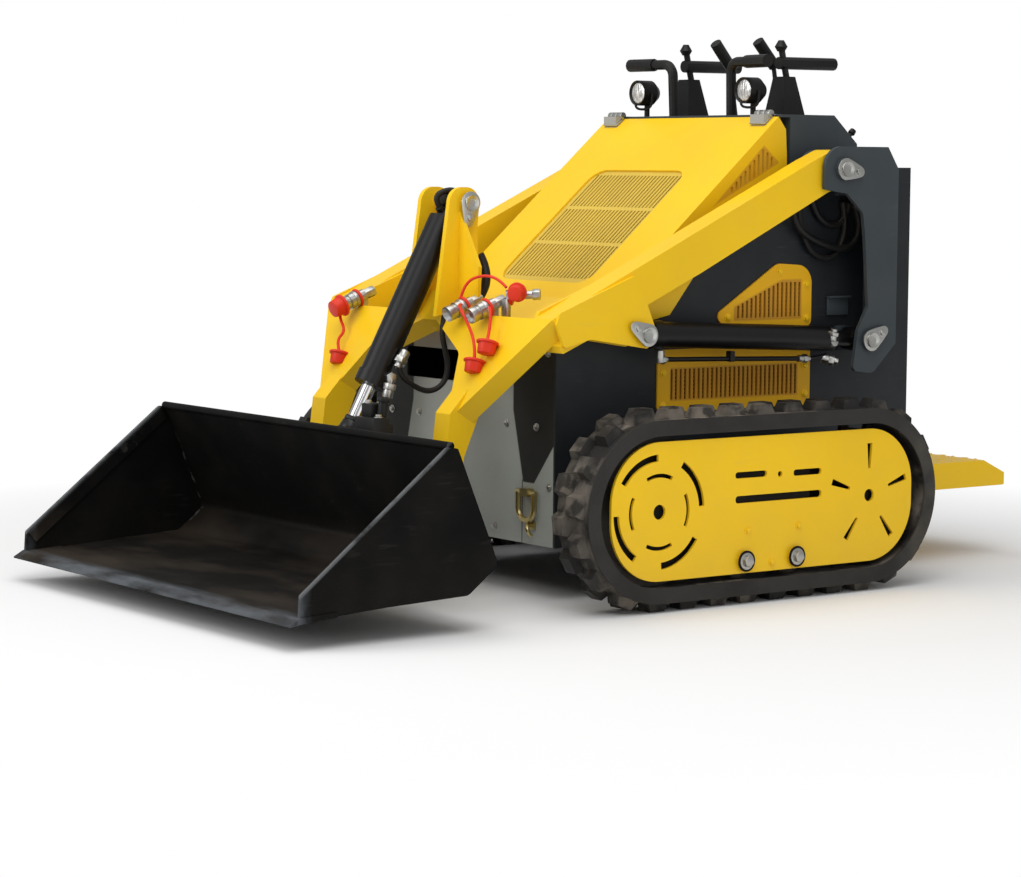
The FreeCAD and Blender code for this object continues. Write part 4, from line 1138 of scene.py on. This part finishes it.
def rod_clevis():
    """Forked end of the tilt rod, with its jam nut."""
    axis = (PIVOTS["tilt_barrel_swing"] - TILT_EYE).normalized()
    parts = [
        turned("neck", TILT_EYE + axis * 0.022, TILT_EYE + axis * 0.042, 0.024, 28, 0.002, 0.021),
        turned("jam nut", TILT_EYE + axis * 0.042, TILT_EYE + axis * 0.051, 0.0225, 6, 0.0015),
    ]
    for y in (-13, 13):
        cheek = TILT_EYE + point(0, y, 0)
        parts.append(turned("cheek", cheek - point(0, 5, 0), cheek + point(0, 5, 0), 0.031, 28, 0.0015))
    fitted("rod_clevis", parts, "tilt_rod", "cylinder_black")


def carrier_latch():
    """Spring latch beside the tilt ears: housing, shoulder, block, spring rod with its cap, and bolts."""
    base = point(598, 148, 356)
    parts = [
        block("housing", base + point(-22, -36, -64), base + point(16, 34, 20), 0.003),
        block("shoulder", base + point(-38, -22, -48), base + point(-18, 24, 6), 0.003),
        block("block", base + point(-30, -30, 16), base + point(4, 6, 46), 0.003),
        turned("spring rod", base + point(-12, 20, 16), base + point(-16, 21, 52), 0.010, 20, 0.001),
        turned("cap", base + point(-16, 21, 50), base + point(-17, 21, 58), 0.013, 20, 0.001),
    ]
    fitted("carrier_latch", parts, "bucket", "bucket_black", "grip_plastic")
    spots = [(point(-30, y, 38), -AHEAD) for y in (-22, -4)] + [(point(-6, -18, 46), UP), (point(-2, 24, 20), UP)]
    bolts = [carried(hex_bolt(0.007), standing(base + place, normal)) for place, normal in spots]
    fitted("latch_bolts", bolts, "bucket", "zinc_steel")


def inner_gusset(side, sign):
    """Inner gusset between the arm and the lift rod's eye."""
    outline = ((-76, 668), (2, 572), (92, 553), (140, 640), (60, 640), (-30, 676))
    gusset = soften(flat_piece("inner_gusset_" + side, outline, sign * 338, sign * 8), 0.0015)
    dressed(gusset, "lift_arms", "yellow_paint")


# stage


class LOADER_OT_stage(bpy.types.Operator):
    """Sets the pale floor, the soft lamps and the camera"""

    bl_idname = "loader.stage"
    bl_label = "Stage"

    def execute(self, context):
        scene = context.scene
        scene.view_settings.view_transform = "Standard"
        build_floor()
        build_world(scene)
        for name, place, size, power in (
            ("key lamp", (2.4, 3.0, 4.4), 3.0, 75),
            ("fill lamp", (4.6, -1.0, 2.6), 3.0, 82),
            ("top lamp", (0.5, 0.2, 4.0), 3.2, 60),
            ("side lamp", (0.4, 4.6, 1.2), 2.4, 16),
        ):
            data = bpy.data.lights.new(name, "AREA")
            data.size = size
            data.energy = power
            lamp = bpy.data.objects.new(name, data)
            lamp.location = place
            lamp.rotation_euler = (Vector((0, 0, 0.4)) - Vector(place)).to_track_quat("-Z", "Y").to_euler()
            scene.collection.objects.link(lamp)
        place_camera(scene)
        return {"FINISHED"}


def mix_shaders(tree, mask, first, second, output):
    """Sends a blend of two shader nodes to an output node."""
    mix = tree.nodes.new("ShaderNodeMixShader")
    tree.links.new(mask, mix.inputs["Fac"])
    tree.links.new(first.outputs[0], mix.inputs[1])
    tree.links.new(second.outputs[0], mix.inputs[2])
    tree.links.new(mix.outputs["Shader"], tree.nodes[output].inputs["Surface"])


def build_floor():
    """A pale floor just under the machine, which keeps its shadow."""
    deselect()
    bpy.ops.mesh.primitive_plane_add(size=60, location=(0, 0, -0.0005))
    floor = bpy.context.object
    floor.name = "floor"
    material, tree, shader = new_material("pale floor")
    preset(shader, {"Base Color": (0.86, 0.86, 0.86, 1), "Roughness": 0.9, "Specular IOR Level": 0.0})
    # away from the machine the floor passes into the white backdrop
    place = tree.nodes.new("ShaderNodeTexCoord")
    far = tree.nodes.new("ShaderNodeVectorMath")
    far.operation = "LENGTH"
    tree.links.new(place.outputs["Object"], far.inputs[0])
    away = remap(tree, far.outputs["Value"], 1.1, 2.2)
    path = tree.nodes.new("ShaderNodeLightPath")
    mask = product(tree, away, path.outputs["Is Camera Ray"])
    mix_shaders(tree, mask, shader, tree.nodes.new("ShaderNodeEmission"), "Material Output")
    floor.data.materials.append(material)


def build_world(scene):
    """A soft white surround, which the camera sees as plain white, also through clear pieces."""
    world = bpy.data.worlds.new("soft studio")
    scene.world = world
    world.use_nodes = True
    tree = world.node_tree
    surround, backdrop = tree.nodes["Background"], tree.nodes.new("ShaderNodeBackground")
    for node, strength in ((surround, 0.45), (backdrop, 1.0)):
        preset(node, {"Color": (1, 1, 1, 1), "Strength": strength})
    path = tree.nodes.new("ShaderNodeLightPath")
    seen = math_node(tree, "MAXIMUM", path.outputs["Is Camera Ray"], path.outputs["Is Transmission Ray"])
    mix_shaders(tree, seen, surround, backdrop, "World Output")


def place_camera(scene):
    """Looks at the machine from its front left corner, a little above it."""
    heading, down, roll = (math.radians(angle) for angle in (144.16, 5.38, 0.40))
    data = bpy.data.cameras.new("camera")
    data.lens = sizes().camera_lens
    data.sensor_width = 36
    camera = bpy.data.objects.new("camera", data)
    turn = Matrix.Rotation(heading, 4, "Z") @ Matrix.Rotation(math.pi / 2 - down, 4, "X")
    camera.matrix_world = Matrix.Translation((3.707, 4.924, 0.871)) @ turn @ Matrix.Rotation(roll, 4, "Z")
    scene.collection.objects.link(camera)
    scene.camera = camera


class LOADER_PT_panel(bpy.types.Panel):
    """Lists the loader's steps in the sidebar"""

    bl_idname = "LOADER_PT_panel"
    bl_label = "Track Loader"
    bl_space_type = "VIEW_3D"
    bl_region_type = "UI"
    bl_category = "Loader"

    def draw(self, context):
        for operator in STEPS:
            self.layout.operator(operator.bl_idname)


STEPS = (
    LOADER_OT_finishes,
    LOADER_OT_pins,
    LOADER_OT_bolts,
    LOADER_OT_hydraulics,
    LOADER_OT_couplers,
    LOADER_OT_lamps,
    LOADER_OT_body_fittings,
    LOADER_OT_screens,
    LOADER_OT_carrier,
    LOADER_OT_stage,
)
CLASSES = (LoaderColours, LoaderSizes, *STEPS, LOADER_PT_panel)


def register():
    for each in CLASSES:
        bpy.utils.register_class(each)
    bpy.types.Scene.loader_colours = bpy.props.PointerProperty(type=LoaderColours)
    bpy.types.Scene.loader_sizes = bpy.props.PointerProperty(type=LoaderSizes)


def unregister():
    del bpy.types.Scene.loader_sizes
    del bpy.types.Scene.loader_colours
    for each in reversed(CLASSES):
        bpy.utils.unregister_class(each)


def main():
    register()
    for step in STEPS:
        group, name = step.bl_idname.split(".")
        getattr(getattr(bpy.ops, group), name)()


if __name__ == "__main__":
    main()
